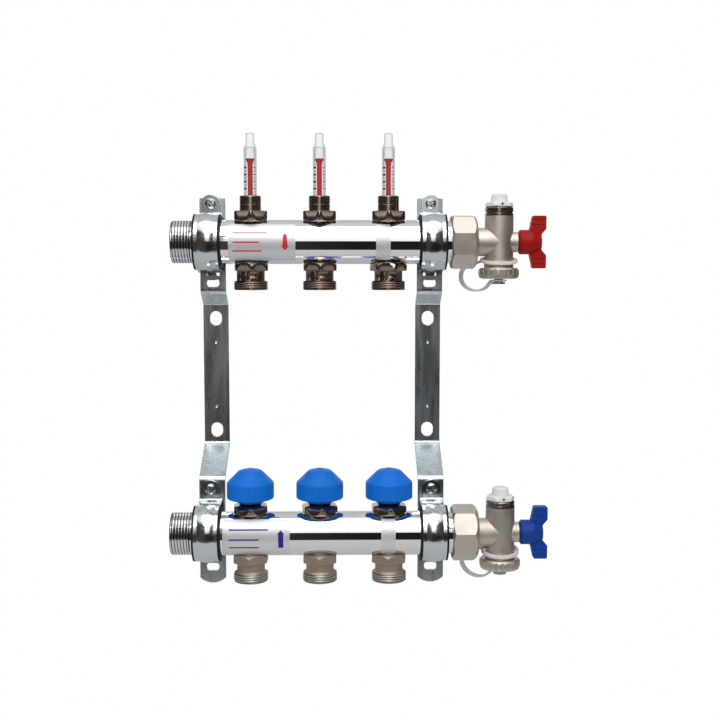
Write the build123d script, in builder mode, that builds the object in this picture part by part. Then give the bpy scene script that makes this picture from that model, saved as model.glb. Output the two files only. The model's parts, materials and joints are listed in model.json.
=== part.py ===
"""Heating manifold with three circuits: a supply bar with flow meters above a return bar with valves.

Both bars are clamped to two cranked wall brackets, and each carries a vent and drain set on a union nut.
The origin is midway between the left bracket's two wall slots, on the wall: X runs along the bars to the
right, Y runs into the wall and Z is up. Everything is in millimetres.
"""

import os
from math import cos, pi, radians, sin, sqrt, tan

from build123d import *

# Layout of the bars and the brackets
outlet_count = 3
outlet_pitch = 55.0
first_outlet_x = 32.7
right_bracket_from_outlet = 34.9
supply_axis_z = 109.5
bar_distance = 231.0

# Cranked bracket strip
strip_width = 20.9
strip_thickness = 2.5
supply_stand_off = 17.4
return_stand_off = 39.3
crank_angle = 60.0
crank_inner_radius = 2.5
crank_from_axis = 40.0
strip_above_supply = 36.4
strip_below_return = 46.1
strip_end_sag = 4.3
strip_corner_radius = 1.5
wall_slot_width = 10.0
wall_slot_length = 12.0
wall_slot_spacing = 94.0
dimple_radius = 1.3
dimple_depth = 0.6
dimple_spacing = 54.0

# Bars
bar_radius = 17.5
bar_bore_radius = 13.0
bar_left_overhang = 29.8
bar_right_overhang = 27.6
end_thread_radius = 16.625
end_thread_length = 17.0
nut_thread_length = 15.2
end_thread_chamfer = 1.6
port_seat_height = 16.0
port_seat_radius = 14.3
port_thread_radius = 10.0
port_thread_reach = 4.0
port_clearance = 0.05

# Pipe clamps
rubber_thickness = 3.0
rubber_width = 21.6
band_width = 18.7
band_thickness = 1.6
bead_width = 13.0
bead_height = 1.2
band_tab_width = 15.6
band_tab_top = 39.0
band_tab_bend_radius = 2.5
tongue_width = 7.8
tongue_slope = 8.5
tongue_gap = 0.3
tongue_bend_radius = 0.6
tongue_play = 1.2
tongue_slot_width = 10.7
web_height = 2.7
window_width = 10.2
window_height = 6.4
window_corner = 2.6
tongue_peek = 0.9
left_clamp_shift = -1.2
right_clamp_shift = 0.5
screw_height = 31.7
screw_radius = 2.5
screw_head_radius = 4.3
screw_head_height = 3.1
screw_crown_radius = 3.1
screw_crown_height = 2.85
screw_length = 11.0
screw_tip_chamfer = 0.6
screw_hole_clearance = 0.15
recess_length = 4.8
recess_width = 1.1
recess_depth = 1.4

# Hexagons on everything that screws into a bar
hex_across_flats = 26.0
meter_turns = (6.0, 1.2, 0.0)
insert_turns = (6.0, 10.0, 4.0)
supply_outlet_turns = (9.0, 5.0, 20.0)
return_outlet_turns = (28.0, 30.0, 24.0)
hex_chamfer = 1.0
seat_chamfer = 2.4
seat_chamfer_height = 2.2

# Outlets
outlet_collar_height = 7.0
outlet_neck_height = 8.0
supply_neck_radius = 11.4
return_neck_radius = 11.0
supply_neck_taper = 0.3
return_neck_taper = 1.6
outlet_thread_radius = 13.22
outlet_thread_length = 7.2
outlet_thread_chamfer = 0.9
outlet_bore_radius = 7.0
seat_bore_radius = 5.0
seat_wall = 2.0
socket_mouth_radius = 9.0
socket_depth = 5.0

# Flow meters
meter_hex_height = 8.4
meter_spout_radius = 7.0
meter_spout_height = 8.0
running_clearance = 0.06
free_clearance = 0.3
throttle_tube_radius = 4.0
throttle_tube_bore = 2.4
throttle_disc_radius = 6.4
throttle_disc_height = 2.0
sleeve_radius = 8.6
sleeve_height = 12.1
sleeve_gap = 0.1
sleeve_top_wall = 2.1
sleeve_groove_height = 5.0
sleeve_groove_width = 0.8
sleeve_groove_depth = 0.5
sleeve_edge_radius = 1.2
glass_radius = 5.25
glass_wall = 1.0
glass_flange_height = 1.6
glass_straight_top = 74.0
glass_shoulder_height = 4.6
glass_tip_radius = 3.4
glass_tip_height = 7.4
indicator_radius = 2.0
indicator_flare_radius = 2.3
indicator_top = 65.8
indicator_cup_radius = 3.7
indicator_cup_height = 5.6
indicator_plate_radius = 6.0
indicator_plate_height = 1.2
indicator_plate_drop = 2.9

# Valve inserts with their hand caps
insert_hex_height = 6.5
insert_neck_radius = 9.0
insert_neck_height = 6.8
gland_radius = 6.0
gland_height = 5.0
valve_stem_radius = 3.0
valve_stem_top = 38.0
valve_disc_radius = 7.6
valve_disc_height = 3.0
valve_lift = 2.25
cap_skirt_bottom = 25.1
cap_skirt_radius = 10.2
cap_rim_radius = 18.6
cap_rim_bottom = 28.6
cap_rim_top = 41.0
cap_underside_radius = 15.5
cap_top = 52.6
cap_cone_radius = 9.0
cap_cone_top = 50.6
cap_edge_radius = 2.4
cap_crown_radius = 5.0
cap_flute_count = 24
cap_flute_depth = 0.2
cap_flute_radius = 1.4
cap_flute_margin = 1.9

# Union between a bar and its end set
nut_wall = 3.925
nut_from_bar_end = 12.4
nut_length = 20.4
nut_entry_chamfer = 1.6
nut_entry_fall = 2.0
nut_face_chamfer = 3.6
nut_face_fall = 4.6
nut_end_wall = 3.4
nut_thread_clearance = 0.1
supply_nut_turn = 16.9
return_nut_turn = 8.4
gasket_thickness = 2.0
gasket_bore_radius = 11.0
union_collar_play = 1.125
union_collar_width = 2.6

# Vent and drain set
tee_from_bar_end = 26.3
tail_radius = 11.35
tail_bore_radius = 8.3
tee_radius = 11.45
tee_top = 20.6
tee_bottom = 15.0
ball_chamber_radius = 8.4
ball_chamber_depth = 9.0
drain_bore_radius = 5.4
drain_neck_radius = 11.8
drain_neck_height = 5.6
drain_thread_radius = 13.22
drain_thread_length = 4.9
boss_radius = 8.1
boss_from_tee = 15.4
boss_edge_radius = 1.0
ball_radius = 8.0
ball_bore_radius = 4.4
ball_slot_width = 3.0
tang_width = 6.6
ball_slot_depth = 2.2
seat_ring_outer_radius = 8.2
seat_ring_gap = 0.25
stem_radius = 4.0
stem_into_handle = 8.0
hub_radius = 9.8
hub_length = 10.4
hub_edge_radius = 1.2
handle_half_span = 21.0
handle_thickness = 7.0
handle_root_half = 9.6
wing_inner_root = 8.6
wing_inner_tip = 11.0
wing_outer = 21.8
web_outer = 18.0
web_half_height = 6.2
wing_shoulder = 10.6
wing_corner_radius = 1.4
grip_groove_positions = (13.6, 17.6)
grip_groove_radius = 0.55
supply_vent_height = 7.4
return_vent_height = 5.6
vent_ring_radius = 11.4
vent_groove_height = 2.2
vent_groove_width = 1.2
vent_groove_depth = 0.7
vent_ring_chamfer = 1.0
vent_plug_radius = 8.3
vent_plug_depth = 6.5
vent_bore_radius = 4.4
vent_bore_depth = 8.5
vent_drip_radius = 1.4
vent_flange_across_flats = 20.3
vent_flange_height = 3.4
vent_flange_taper = 1.0
vent_spout_radius = 6.9
vent_spout_top_radius = 6.3
vent_spout_height = 6.6
vent_key_width = 5.2
vent_key_depth = 2.4
vent_hole_radius = 1.1
vent_hole_turn = 8.0
drain_cap_radius = 16.2
drain_cap_height = 8.8
drain_cap_floor = 2.2
drain_cap_chamfer = 1.6
drain_cap_round = 1.8
drain_cap_flutes = 20
drain_flute_radius = 1.1
drain_flute_depth = 0.7
washer_height = 1.6
washer_radius = 12.9
washer_bore_radius = 3.0
knob_stem_radius = 3.6
knob_stem_height = 2.6
knob_radius = 5.2
knob_height = 1.5

# Strap that keeps the drain cap
strap_ring_bore = 12.4
strap_ring_radius = 15.0
strap_ring_thickness = 2.6
strap_ring_drop = 16.0
strap_ring_tilt = 10.0
strap_swing = 37.0
strap_loop_reach = 35.0
strap_loop_shoulder = 22.2
strap_loop_elbow = 35.4
strap_loop_low_reach = 20.5
strap_loop_low = 39.4
strap_bend = 7.5
strap_width = 4.4
strap_thickness = 1.5
strap_eye_bore = 3.9
strap_eye_radius = 6.4
strap_eye_thickness = 1.4

return_axis_z = supply_axis_z - bar_distance
supply_seat_y = -(strip_thickness + supply_stand_off)
return_seat_y = -(strip_thickness + return_stand_off)
axis_to_seat = bar_radius + rubber_thickness
band_reach = axis_to_seat + band_thickness / 2
supply_axis_y = supply_seat_y - axis_to_seat
return_axis_y = return_seat_y - axis_to_seat
bracket_spacing = first_outlet_x + outlet_pitch * (outlet_count - 1) + right_bracket_from_outlet
bar_left_x = -bar_left_overhang
bar_right_x = bracket_spacing + bar_right_overhang
tee_x = bar_right_x + tee_from_bar_end
outlet_xs = [first_outlet_x + outlet_pitch * i for i in range(outlet_count)]
bracket_xs = (0.0, bracket_spacing)
clamp_xs = (left_clamp_shift, bracket_spacing + right_clamp_shift)
union_collar_radius = end_thread_radius + nut_thread_clearance - union_collar_play
supply_axis = (supply_axis_y, supply_axis_z)
return_axis = (return_axis_y, return_axis_z)

os.makedirs("parts", exist_ok=True)


def save(part, name):
    """Label a finished piece and write it under its own name."""
    part.label = name
    export_step(part, f"parts/{name}.step")


def facing(x, y, z):
    """A plane that faces the viewer, with its own origin, X to the right and Z up."""
    return Plane(origin=(x, y, z), x_dir=(1, 0, 0), z_dir=(0, -1, 0))


def level(x, y, z):
    """A horizontal plane at a height, with its origin on a vertical axis."""
    return Plane(origin=(x, y, z), x_dir=(1, 0, 0), z_dir=(0, 0, 1))


def across(x, y, z):
    """A plane square to the bars, with local X running into the wall and local Y up."""
    return Plane(origin=(x, y, z), x_dir=(0, 1, 0), z_dir=(1, 0, 0))


def outline(plane, *points):
    """A closed outline of straight lines on a plane."""
    with BuildSketch(plane) as drawn:
        with BuildLine():
            Polyline(*points, close=True)
        make_face()
    return drawn.sketch


def ring_outline(plane, inner, outer, bottom, top):
    """The section of a plain ring, for a revolve about the plane's upright axis."""
    return outline(plane, (inner, bottom), (outer, bottom), (outer, top), (inner, top))


def tongue_drop(behind):
    """How far under the bar's axis a tongue's middle line passes, at a distance behind that axis."""
    return (band_reach + behind * sin(radians(tongue_slope))) / cos(radians(tongue_slope))


def make_bar(axis_y, axis_z):
    """One bar: a thick tube, threaded at both ends, with a threaded port above and below each outlet."""
    thread_end = bar_left_x + end_thread_length
    nut_thread_start = bar_right_x - nut_thread_length
    along = Axis((0, axis_y, axis_z), (1, 0, 0))
    with BuildPart() as bar:
        revolve(
            outline(
                facing(0, axis_y, axis_z),
                (bar_left_x, bar_bore_radius),
                (bar_left_x, end_thread_radius - end_thread_chamfer),
                (bar_left_x + end_thread_chamfer, end_thread_radius),
                (thread_end, end_thread_radius),
                (thread_end, bar_radius),
                (nut_thread_start, bar_radius),
                (nut_thread_start, end_thread_radius),
                (bar_right_x - end_thread_chamfer, end_thread_radius),
                (bar_right_x, end_thread_radius - end_thread_chamfer),
                (bar_right_x, bar_bore_radius),
            ),
            axis=along,
        )
        for x in outlet_xs:
            with BuildSketch(level(x, axis_y, axis_z)):
                Circle(port_thread_radius + port_clearance)
            extrude(amount=bar_radius, both=True, mode=Mode.SUBTRACT)
            for side in (1, -1):
                with BuildSketch(level(x, axis_y, axis_z + side * port_seat_height)):
                    Circle(port_seat_radius)
                extrude(amount=side * bar_radius, mode=Mode.SUBTRACT)
    return bar.part


def hexagon(x, y, z, height, turn, seat_below):
    """A hexagon with chamfered flats, standing on z, with the deep chamfer on the end that meets the bar."""
    corner = hex_across_flats / sqrt(3)
    deep = (corner - seat_chamfer, seat_chamfer_height)
    fine = (corner - hex_chamfer, hex_chamfer)
    low, high = (deep, fine) if seat_below else (fine, deep)
    with BuildPart() as nut:
        with BuildSketch(level(x, y, z)):
            RegularPolygon(hex_across_flats / 2, 6, major_radius=False, rotation=turn)
        extrude(amount=height)
        revolve(
            outline(
                facing(x, y, z),
                (0, 0),
                (low[0], 0),
                (corner, low[1]),
                (corner, height - high[1]),
                (high[0], height),
                (0, height),
            ),
            axis=Axis((x, y, z), (0, 0, 1)),
            mode=Mode.INTERSECT,
        )
    return nut.part


def make_outlet(x, axis_y, axis_z, turn, neck_radius, neck_taper):
    """An outlet nipple: thread into the bar, hexagon collar, neck, male pipe thread and a coned socket."""
    seat = -port_seat_height
    spigot_top = seat + port_thread_reach
    neck_top = seat - outlet_collar_height
    thread_top = neck_top - outlet_neck_height
    end = thread_top - outlet_thread_length
    upright = Axis((x, axis_y, axis_z), (0, 0, 1))
    with BuildPart() as outlet:
        add(hexagon(x, axis_y, axis_z + neck_top, outlet_collar_height, turn, False))
        revolve(
            outline(
                facing(x, axis_y, axis_z),
                (0, spigot_top),
                (port_thread_radius, spigot_top),
                (port_thread_radius, seat),
                (neck_radius, seat),
                (neck_radius + neck_taper, neck_top),
                (neck_radius, neck_top - neck_taper),
                (neck_radius, thread_top + neck_taper),
                (outlet_thread_radius - outlet_thread_chamfer, thread_top),
                (outlet_thread_radius, thread_top - outlet_thread_chamfer),
                (outlet_thread_radius, end + outlet_thread_chamfer),
                (outlet_thread_radius - outlet_thread_chamfer, end),
                (0, end),
            ),
            axis=upright,
        )
        revolve(
            outline(
                facing(x, axis_y, axis_z),
                (0, spigot_top),
                (seat_bore_radius, spigot_top),
                (seat_bore_radius, spigot_top - seat_wall),
                (outlet_bore_radius, spigot_top - seat_wall),
                (outlet_bore_radius, end + socket_depth),
                (socket_mouth_radius, end),
                (0, end),
            ),
            axis=upright,
            mode=Mode.SUBTRACT,
        )
    return outlet.part


meter_hex_top = port_seat_height + meter_hex_height
spout_top = meter_hex_top + meter_spout_height
sleeve_bottom = meter_hex_top + sleeve_gap
sleeve_top = sleeve_bottom + sleeve_height
glass_bottom = sleeve_top - sleeve_top_wall - glass_flange_height
throttle_top = glass_bottom - free_clearance
valve_seat = -port_seat_height + port_thread_reach


def make_meter_body(x, axis_y, axis_z, turn):
    """A flow meter's body: thread into the bar, hexagon and a spout that guides the throttle tube."""
    with BuildPart() as body:
        add(hexagon(x, axis_y, axis_z + port_seat_height, meter_hex_height, turn, True))
        revolve(
            outline(
                facing(x, axis_y, axis_z),
                (0, port_seat_height - port_thread_reach),
                (port_thread_radius, port_seat_height - port_thread_reach),
                (port_thread_radius, port_seat_height),
                (meter_spout_radius, port_seat_height),
                (meter_spout_radius, spout_top),
                (0, spout_top),
            ),
            axis=Axis((x, axis_y, axis_z), (0, 0, 1)),
        )
        with BuildSketch(level(x, axis_y, axis_z)):
            Circle(throttle_tube_radius + running_clearance)
        extrude(amount=spout_top, mode=Mode.SUBTRACT)
    return body.part


def make_throttle(x, axis_y, axis_z):
    """The tube that the sleeve lifts, with the throttle disc at its foot just above the outlet's seat."""
    foot = valve_seat + free_clearance
    with BuildPart() as throttle:
        revolve(
            outline(
                facing(x, axis_y, axis_z),
                (throttle_tube_bore, foot),
                (throttle_disc_radius, foot),
                (throttle_disc_radius, foot + throttle_disc_height),
                (throttle_tube_radius, foot + throttle_disc_height),
                (throttle_tube_radius, throttle_top),
                (throttle_tube_bore, throttle_top),
            ),
            axis=Axis((x, axis_y, axis_z), (0, 0, 1)),
        )
    return throttle.part


def make_sleeve(x, axis_y, axis_z):
    """The setting sleeve: a cup turned upside down over the spout, with a groove round it."""
    groove = sleeve_bottom + sleeve_groove_height
    with BuildPart() as sleeve:
        revolve(
            outline(
                facing(x, axis_y, axis_z),
                (meter_spout_radius + free_clearance, sleeve_bottom),
                (sleeve_radius, sleeve_bottom),
                (sleeve_radius, groove),
                (sleeve_radius - sleeve_groove_depth, groove + sleeve_groove_width / 2),
                (sleeve_radius, groove + sleeve_groove_width),
                (sleeve_radius, sleeve_top),
                (glass_radius, sleeve_top),
                (glass_radius, sleeve_top - sleeve_top_wall),
                (meter_spout_radius + free_clearance, sleeve_top - sleeve_top_wall),
            ),
            axis=Axis((x, axis_y, axis_z), (0, 0, 1)),
        )
        rims = sleeve.edges().filter_by(GeomType.CIRCLE).group_by(Axis.Z)[-1]
        fillet(rims.sort_by(SortBy.RADIUS)[-1], sleeve_edge_radius)
    return sleeve.part


def make_sight_glass(x, axis_y, axis_z):
    """The clear tube: a flange under the sleeve's top, a straight barrel, a shoulder and a solid tip."""
    bore = glass_radius - glass_wall
    shoulder_top = glass_straight_top + glass_shoulder_height
    tip_top = shoulder_top + glass_tip_height
    with BuildPart() as glass:
        revolve(
            outline(
                facing(x, axis_y, axis_z),
                (bore, glass_bottom),
                (meter_spout_radius, glass_bottom),
                (meter_spout_radius, glass_bottom + glass_flange_height),
                (glass_radius, glass_bottom + glass_flange_height),
                (glass_radius, glass_straight_top),
                (glass_tip_radius, shoulder_top),
                (glass_tip_radius, tip_top),
                (0, tip_top),
                (0, glass_straight_top + glass_wall),
                (bore - glass_wall, glass_straight_top + glass_wall),
                (bore, glass_straight_top - glass_wall),
            ),
            axis=Axis((x, axis_y, axis_z), (0, 0, 1)),
        )
        rims = glass.edges().filter_by(GeomType.CIRCLE).group_by(Axis.Z)[-1]
        fillet(rims, glass_tip_radius / 3)
    return glass.part


def make_indicator(x, axis_y, axis_z):
    """The red rod: a flared cup that is read against the scale and a plate that the water pushes down."""
    plate_top = valve_seat - seat_wall - indicator_plate_drop
    neck = indicator_top - indicator_cup_height
    with BuildPart() as indicator:
        revolve(
            outline(
                facing(x, axis_y, axis_z),
                (0, plate_top - indicator_plate_height),
                (indicator_plate_radius, plate_top - indicator_plate_height),
                (indicator_plate_radius, plate_top),
                (indicator_radius, plate_top),
                (indicator_radius, neck),
                (indicator_flare_radius, neck + indicator_cup_height / 2),
                (indicator_cup_radius, indicator_top - indicator_cup_height / 8),
                (indicator_cup_radius, indicator_top),
                (0, indicator_top),
            ),
            axis=Axis((x, axis_y, axis_z), (0, 0, 1)),
        )
    return indicator.part


insert_hex_top = port_seat_height + insert_hex_height
insert_neck_top = insert_hex_top + insert_neck_height
gland_top = insert_neck_top + gland_height


def make_insert(x, axis_y, axis_z, turn):
    """A valve insert: thread into the bar, hexagon, cap thread and the stem's gland."""
    with BuildPart() as insert:
        add(hexagon(x, axis_y, axis_z + port_seat_height, insert_hex_height, turn, True))
        revolve(
            outline(
                facing(x, axis_y, axis_z),
                (0, port_seat_height - port_thread_reach),
                (port_thread_radius, port_seat_height - port_thread_reach),
                (port_thread_radius, port_seat_height),
                (insert_neck_radius, port_seat_height),
                (insert_neck_radius, insert_neck_top),
                (gland_radius, insert_neck_top),
                (gland_radius, gland_top),
                (0, gland_top),
            ),
            axis=Axis((x, axis_y, axis_z), (0, 0, 1)),
        )
        with BuildSketch(level(x, axis_y, axis_z)):
            Circle(valve_stem_radius + running_clearance)
        extrude(amount=gland_top, mode=Mode.SUBTRACT)
    return insert.part


def make_valve_stem(x, axis_y, axis_z):
    """The stem that the cap pushes down, with the closing disc at its foot."""
    foot = valve_seat + free_clearance + valve_lift
    with BuildPart() as stem:
        revolve(
            outline(
                facing(x, axis_y, axis_z),
                (0, foot),
                (valve_disc_radius, foot),
                (valve_disc_radius, foot + valve_disc_height),
                (valve_stem_radius, foot + valve_disc_height),
                (valve_stem_radius, valve_stem_top),
                (0, valve_stem_top),
            ),
            axis=Axis((x, axis_y, axis_z), (0, 0, 1)),
        )
    return stem.part


def make_valve_cap(x, axis_y, axis_z):
    """The hand cap: skirt, dished underside, fluted rim and a coned crown, with its threaded bore."""
    upright = Axis((x, axis_y, axis_z), (0, 0, 1))
    with BuildPart() as cap:
        with BuildSketch(facing(x, axis_y, axis_z)):
            with BuildLine():
                skirt = Polyline(
                    (0, cap_skirt_bottom),
                    (cap_skirt_radius, cap_skirt_bottom),
                    (cap_skirt_radius, cap_rim_bottom - cap_edge_radius),
                    (cap_underside_radius, cap_rim_bottom - cap_edge_radius / 2),
                )
                crown = FilletPolyline(
                    (cap_underside_radius, cap_rim_bottom - cap_edge_radius / 2),
                    (cap_rim_radius, cap_rim_bottom),
                    (cap_rim_radius, cap_rim_top),
                    (cap_cone_radius, cap_cone_top),
                    (0, cap_top),
                    radius=[cap_edge_radius / 2, cap_edge_radius, cap_crown_radius],
                )
                Line(crown @ 1, skirt @ 0)
            make_face()
        revolve(axis=upright)
        with BuildSketch(level(x, axis_y, axis_z + cap_rim_bottom + cap_flute_margin)):
            with PolarLocations(cap_rim_radius - cap_flute_depth + cap_flute_radius, cap_flute_count):
                Circle(cap_flute_radius)
        extrude(amount=cap_rim_top - cap_rim_bottom - 2 * cap_flute_margin, mode=Mode.SUBTRACT)
        with BuildSketch(level(x, axis_y, axis_z + cap_skirt_bottom)):
            Circle(insert_neck_radius + free_clearance)
        extrude(amount=valve_stem_top + free_clearance - cap_skirt_bottom, mode=Mode.SUBTRACT)
    return cap.part


def make_union_nut(axis_y, axis_z, turn):
    """An eight-sided union nut with a light chamfer where it takes the bar and a deep one on its face."""
    start = bar_right_x - nut_from_bar_end
    end = start + nut_length
    flat_radius = end_thread_radius + nut_thread_clearance + nut_wall
    corner = flat_radius / cos(pi / 8)
    along = Axis((0, axis_y, axis_z), (1, 0, 0))
    with BuildPart() as nut:
        with BuildSketch(Plane(origin=(start, axis_y, axis_z), x_dir=(0, -1, 0), z_dir=(1, 0, 0))):
            RegularPolygon(flat_radius, 8, major_radius=False, rotation=-turn)
        extrude(amount=nut_length)
        revolve(
            outline(
                facing(0, axis_y, axis_z),
                (start, 0),
                (start, corner - nut_entry_fall),
                (start + nut_entry_chamfer, corner),
                (end - nut_face_chamfer, corner),
                (end - nut_face_chamfer / 3, corner - nut_face_fall / 2),
                (end, corner - nut_face_fall),
                (end, 0),
            ),
            axis=along,
            mode=Mode.INTERSECT,
        )
        revolve(
            outline(
                facing(0, axis_y, axis_z),
                (start, 0),
                (start, end_thread_radius + nut_thread_clearance),
                (end - nut_end_wall, end_thread_radius + nut_thread_clearance),
                (end - nut_end_wall, tail_radius + nut_thread_clearance),
                (end, tail_radius + nut_thread_clearance),
                (end, 0),
            ),
            axis=along,
            mode=Mode.SUBTRACT,
        )
    return nut.part


def make_gasket(axis_y, axis_z):
    """The flat ring that seals the union against the bar's end."""
    with BuildPart() as gasket:
        with BuildSketch(across(bar_right_x, axis_y, axis_z)):
            Circle(union_collar_radius)
            Circle(gasket_bore_radius, mode=Mode.SUBTRACT)
        extrude(amount=gasket_thickness)
    return gasket.part


def make_end_piece(axis_y, axis_z):
    """The vent and drain tee: collared tail, upright tube, drain thread below and the stem's boss."""
    collar_x = bar_right_x + gasket_thickness
    boss_end = tee_x + boss_from_tee
    neck_bottom = -tee_bottom - drain_neck_height
    thread_end = neck_bottom - drain_thread_length
    along = Axis((0, axis_y, axis_z), (1, 0, 0))
    upright = Axis((tee_x, axis_y, axis_z), (0, 0, 1))
    with BuildPart() as tee:
        revolve(
            outline(
                facing(0, axis_y, axis_z),
                (collar_x, 0),
                (collar_x, union_collar_radius),
                (collar_x + union_collar_width, union_collar_radius),
                (collar_x + union_collar_width, tail_radius),
                (tee_x, tail_radius),
                (tee_x, boss_radius),
                (boss_end - boss_edge_radius, boss_radius),
                (boss_end, boss_radius - boss_edge_radius),
                (boss_end, 0),
            ),
            axis=along,
        )
        revolve(
            outline(
                facing(tee_x, axis_y, axis_z),
                (0, thread_end),
                (drain_thread_radius, thread_end),
                (drain_thread_radius, neck_bottom),
                (drain_neck_radius, neck_bottom),
                (drain_neck_radius, -tee_bottom),
                (tee_radius, -tee_bottom),
                (tee_radius, tee_top),
                (0, tee_top),
            ),
            axis=upright,
        )
        revolve(
            ring_outline(facing(tee_x, axis_y, axis_z), 0, ball_chamber_radius, -ball_chamber_depth, tee_top),
            axis=upright,
            mode=Mode.SUBTRACT,
        )
        with BuildSketch(level(tee_x, axis_y, axis_z)):
            Circle(drain_bore_radius)
        extrude(amount=thread_end, mode=Mode.SUBTRACT)
        with BuildSketch(across(collar_x, axis_y, axis_z)):
            Circle(tail_bore_radius)
        extrude(amount=tee_x - collar_x, mode=Mode.SUBTRACT)
        with BuildSketch(across(tee_x, axis_y, axis_z)):
            Circle(stem_radius + running_clearance)
        extrude(amount=boss_from_tee, mode=Mode.SUBTRACT)
    return tee.part


def make_seat_ring(axis_y, axis_z):
    """The ring under the drain ball, as high as leaves a hair's gap to the ball."""
    lip = sqrt((ball_radius + seat_ring_gap) ** 2 - drain_bore_radius**2)
    with BuildPart() as ring:
        with BuildSketch(level(tee_x, axis_y, axis_z - ball_chamber_depth)):
            Circle(seat_ring_outer_radius)
            Circle(drain_bore_radius, mode=Mode.SUBTRACT)
        extrude(amount=ball_chamber_depth - lip)
    return ring.part


def make_ball(axis_y, axis_z):
    """The drain ball with its through bore and the slot that takes the stem's tang."""
    with BuildPart() as ball:
        with Locations((tee_x, axis_y, axis_z)):
            Sphere(ball_radius)
        with BuildSketch(level(tee_x, axis_y, axis_z)):
            Circle(ball_bore_radius)
        extrude(amount=ball_radius, both=True, mode=Mode.SUBTRACT)
        with BuildSketch(across(tee_x + ball_radius - ball_slot_depth, axis_y, axis_z)):
            Rectangle(2 * ball_radius, ball_slot_width)
        extrude(amount=ball_slot_depth, mode=Mode.SUBTRACT)
    return ball.part


def make_stem(axis_y, axis_z):
    """The ball's stem: a tang, a shaft through the boss and the end that the handle sits on."""
    length = boss_from_tee - ball_radius + stem_into_handle
    with BuildPart() as stem:
        with BuildSketch(across(tee_x + ball_radius, axis_y, axis_z)):
            Circle(stem_radius)
        extrude(amount=length)
        with BuildSketch(across(tee_x + ball_radius - ball_slot_depth, axis_y, axis_z)):
            Rectangle(tang_width, ball_slot_width - port_clearance)
        extrude(amount=ball_slot_depth)
    return stem.part


def make_handle(axis_y, axis_z):
    """The butterfly handle: a round hub and two winged grips with grooves across them."""
    hub_start = boss_from_tee + free_clearance
    with BuildPart() as handle:
        with BuildSketch(facing(tee_x, axis_y, axis_z)):
            with BuildLine():
                FilletPolyline(
                    (wing_inner_tip + hub_start, handle_half_span),
                    (wing_inner_root + hub_start, handle_root_half),
                    (wing_inner_root + hub_start, -handle_root_half),
                    (wing_inner_tip + hub_start, -handle_half_span),
                    (wing_outer + hub_start, -handle_half_span),
                    (wing_outer + hub_start, -wing_shoulder),
                    (web_outer + hub_start, -web_half_height),
                    (web_outer + hub_start, web_half_height),
                    (wing_outer + hub_start, wing_shoulder),
                    (wing_outer + hub_start, handle_half_span),
                    radius=wing_corner_radius,
                    close=True,
                )
            make_face()
        extrude(amount=handle_thickness / 2, both=True)
        for side in (1, -1):
            for position in grip_groove_positions:
                for face in (1, -1):
                    groove = Axis(
                        (tee_x, axis_y + face * handle_thickness / 2, axis_z + side * position), (1, 0, 0)
                    )
                    with BuildSketch(Plane(origin=groove.position, x_dir=(0, 1, 0), z_dir=(1, 0, 0))):
                        Circle(grip_groove_radius)
                    extrude(amount=hub_start + wing_outer, mode=Mode.SUBTRACT)
        revolve(
            outline(
                facing(tee_x, axis_y, axis_z),
                (hub_start, 0),
                (hub_start, hub_radius - hub_edge_radius),
                (hub_start + hub_edge_radius, hub_radius),
                (hub_start + hub_length, hub_radius),
                (hub_start + web_outer, web_half_height),
                (hub_start + web_outer, 0),
            ),
            axis=Axis((0, axis_y, axis_z), (1, 0, 0)),
        )
        with BuildSketch(across(tee_x + hub_start, axis_y, axis_z)):
            Circle(stem_radius)
        extrude(amount=stem_into_handle - free_clearance, mode=Mode.SUBTRACT)
    return handle.part


def make_vent(axis_y, axis_z, height):
    """The vent's brass ring: a plug in the tee, a grooved ring above it and the cap's socket."""
    top = tee_top + height
    groove = tee_top + vent_groove_height
    with BuildPart() as vent:
        revolve(
            outline(
                facing(tee_x, axis_y, axis_z),
                (0, tee_top - vent_plug_depth),
                (vent_plug_radius, tee_top - vent_plug_depth),
                (vent_plug_radius, tee_top),
                (vent_ring_radius, tee_top),
                (vent_ring_radius, groove),
                (vent_ring_radius - vent_groove_depth, groove),
                (vent_ring_radius - vent_groove_depth, groove + vent_groove_width),
                (vent_ring_radius, groove + vent_groove_width),
                (vent_ring_radius, top - vent_ring_chamfer),
                (vent_ring_radius - vent_ring_chamfer, top),
                (0, top),
            ),
            axis=Axis((tee_x, axis_y, axis_z), (0, 0, 1)),
        )
        with BuildSketch(level(tee_x, axis_y, axis_z + top)):
            Circle(vent_bore_radius)
        extrude(amount=-vent_bore_depth, mode=Mode.SUBTRACT)
        with BuildSketch(level(tee_x, axis_y, axis_z + tee_top - vent_plug_depth)):
            Circle(vent_drip_radius)
        extrude(amount=height + vent_plug_depth, mode=Mode.SUBTRACT)
    return vent.part


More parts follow.
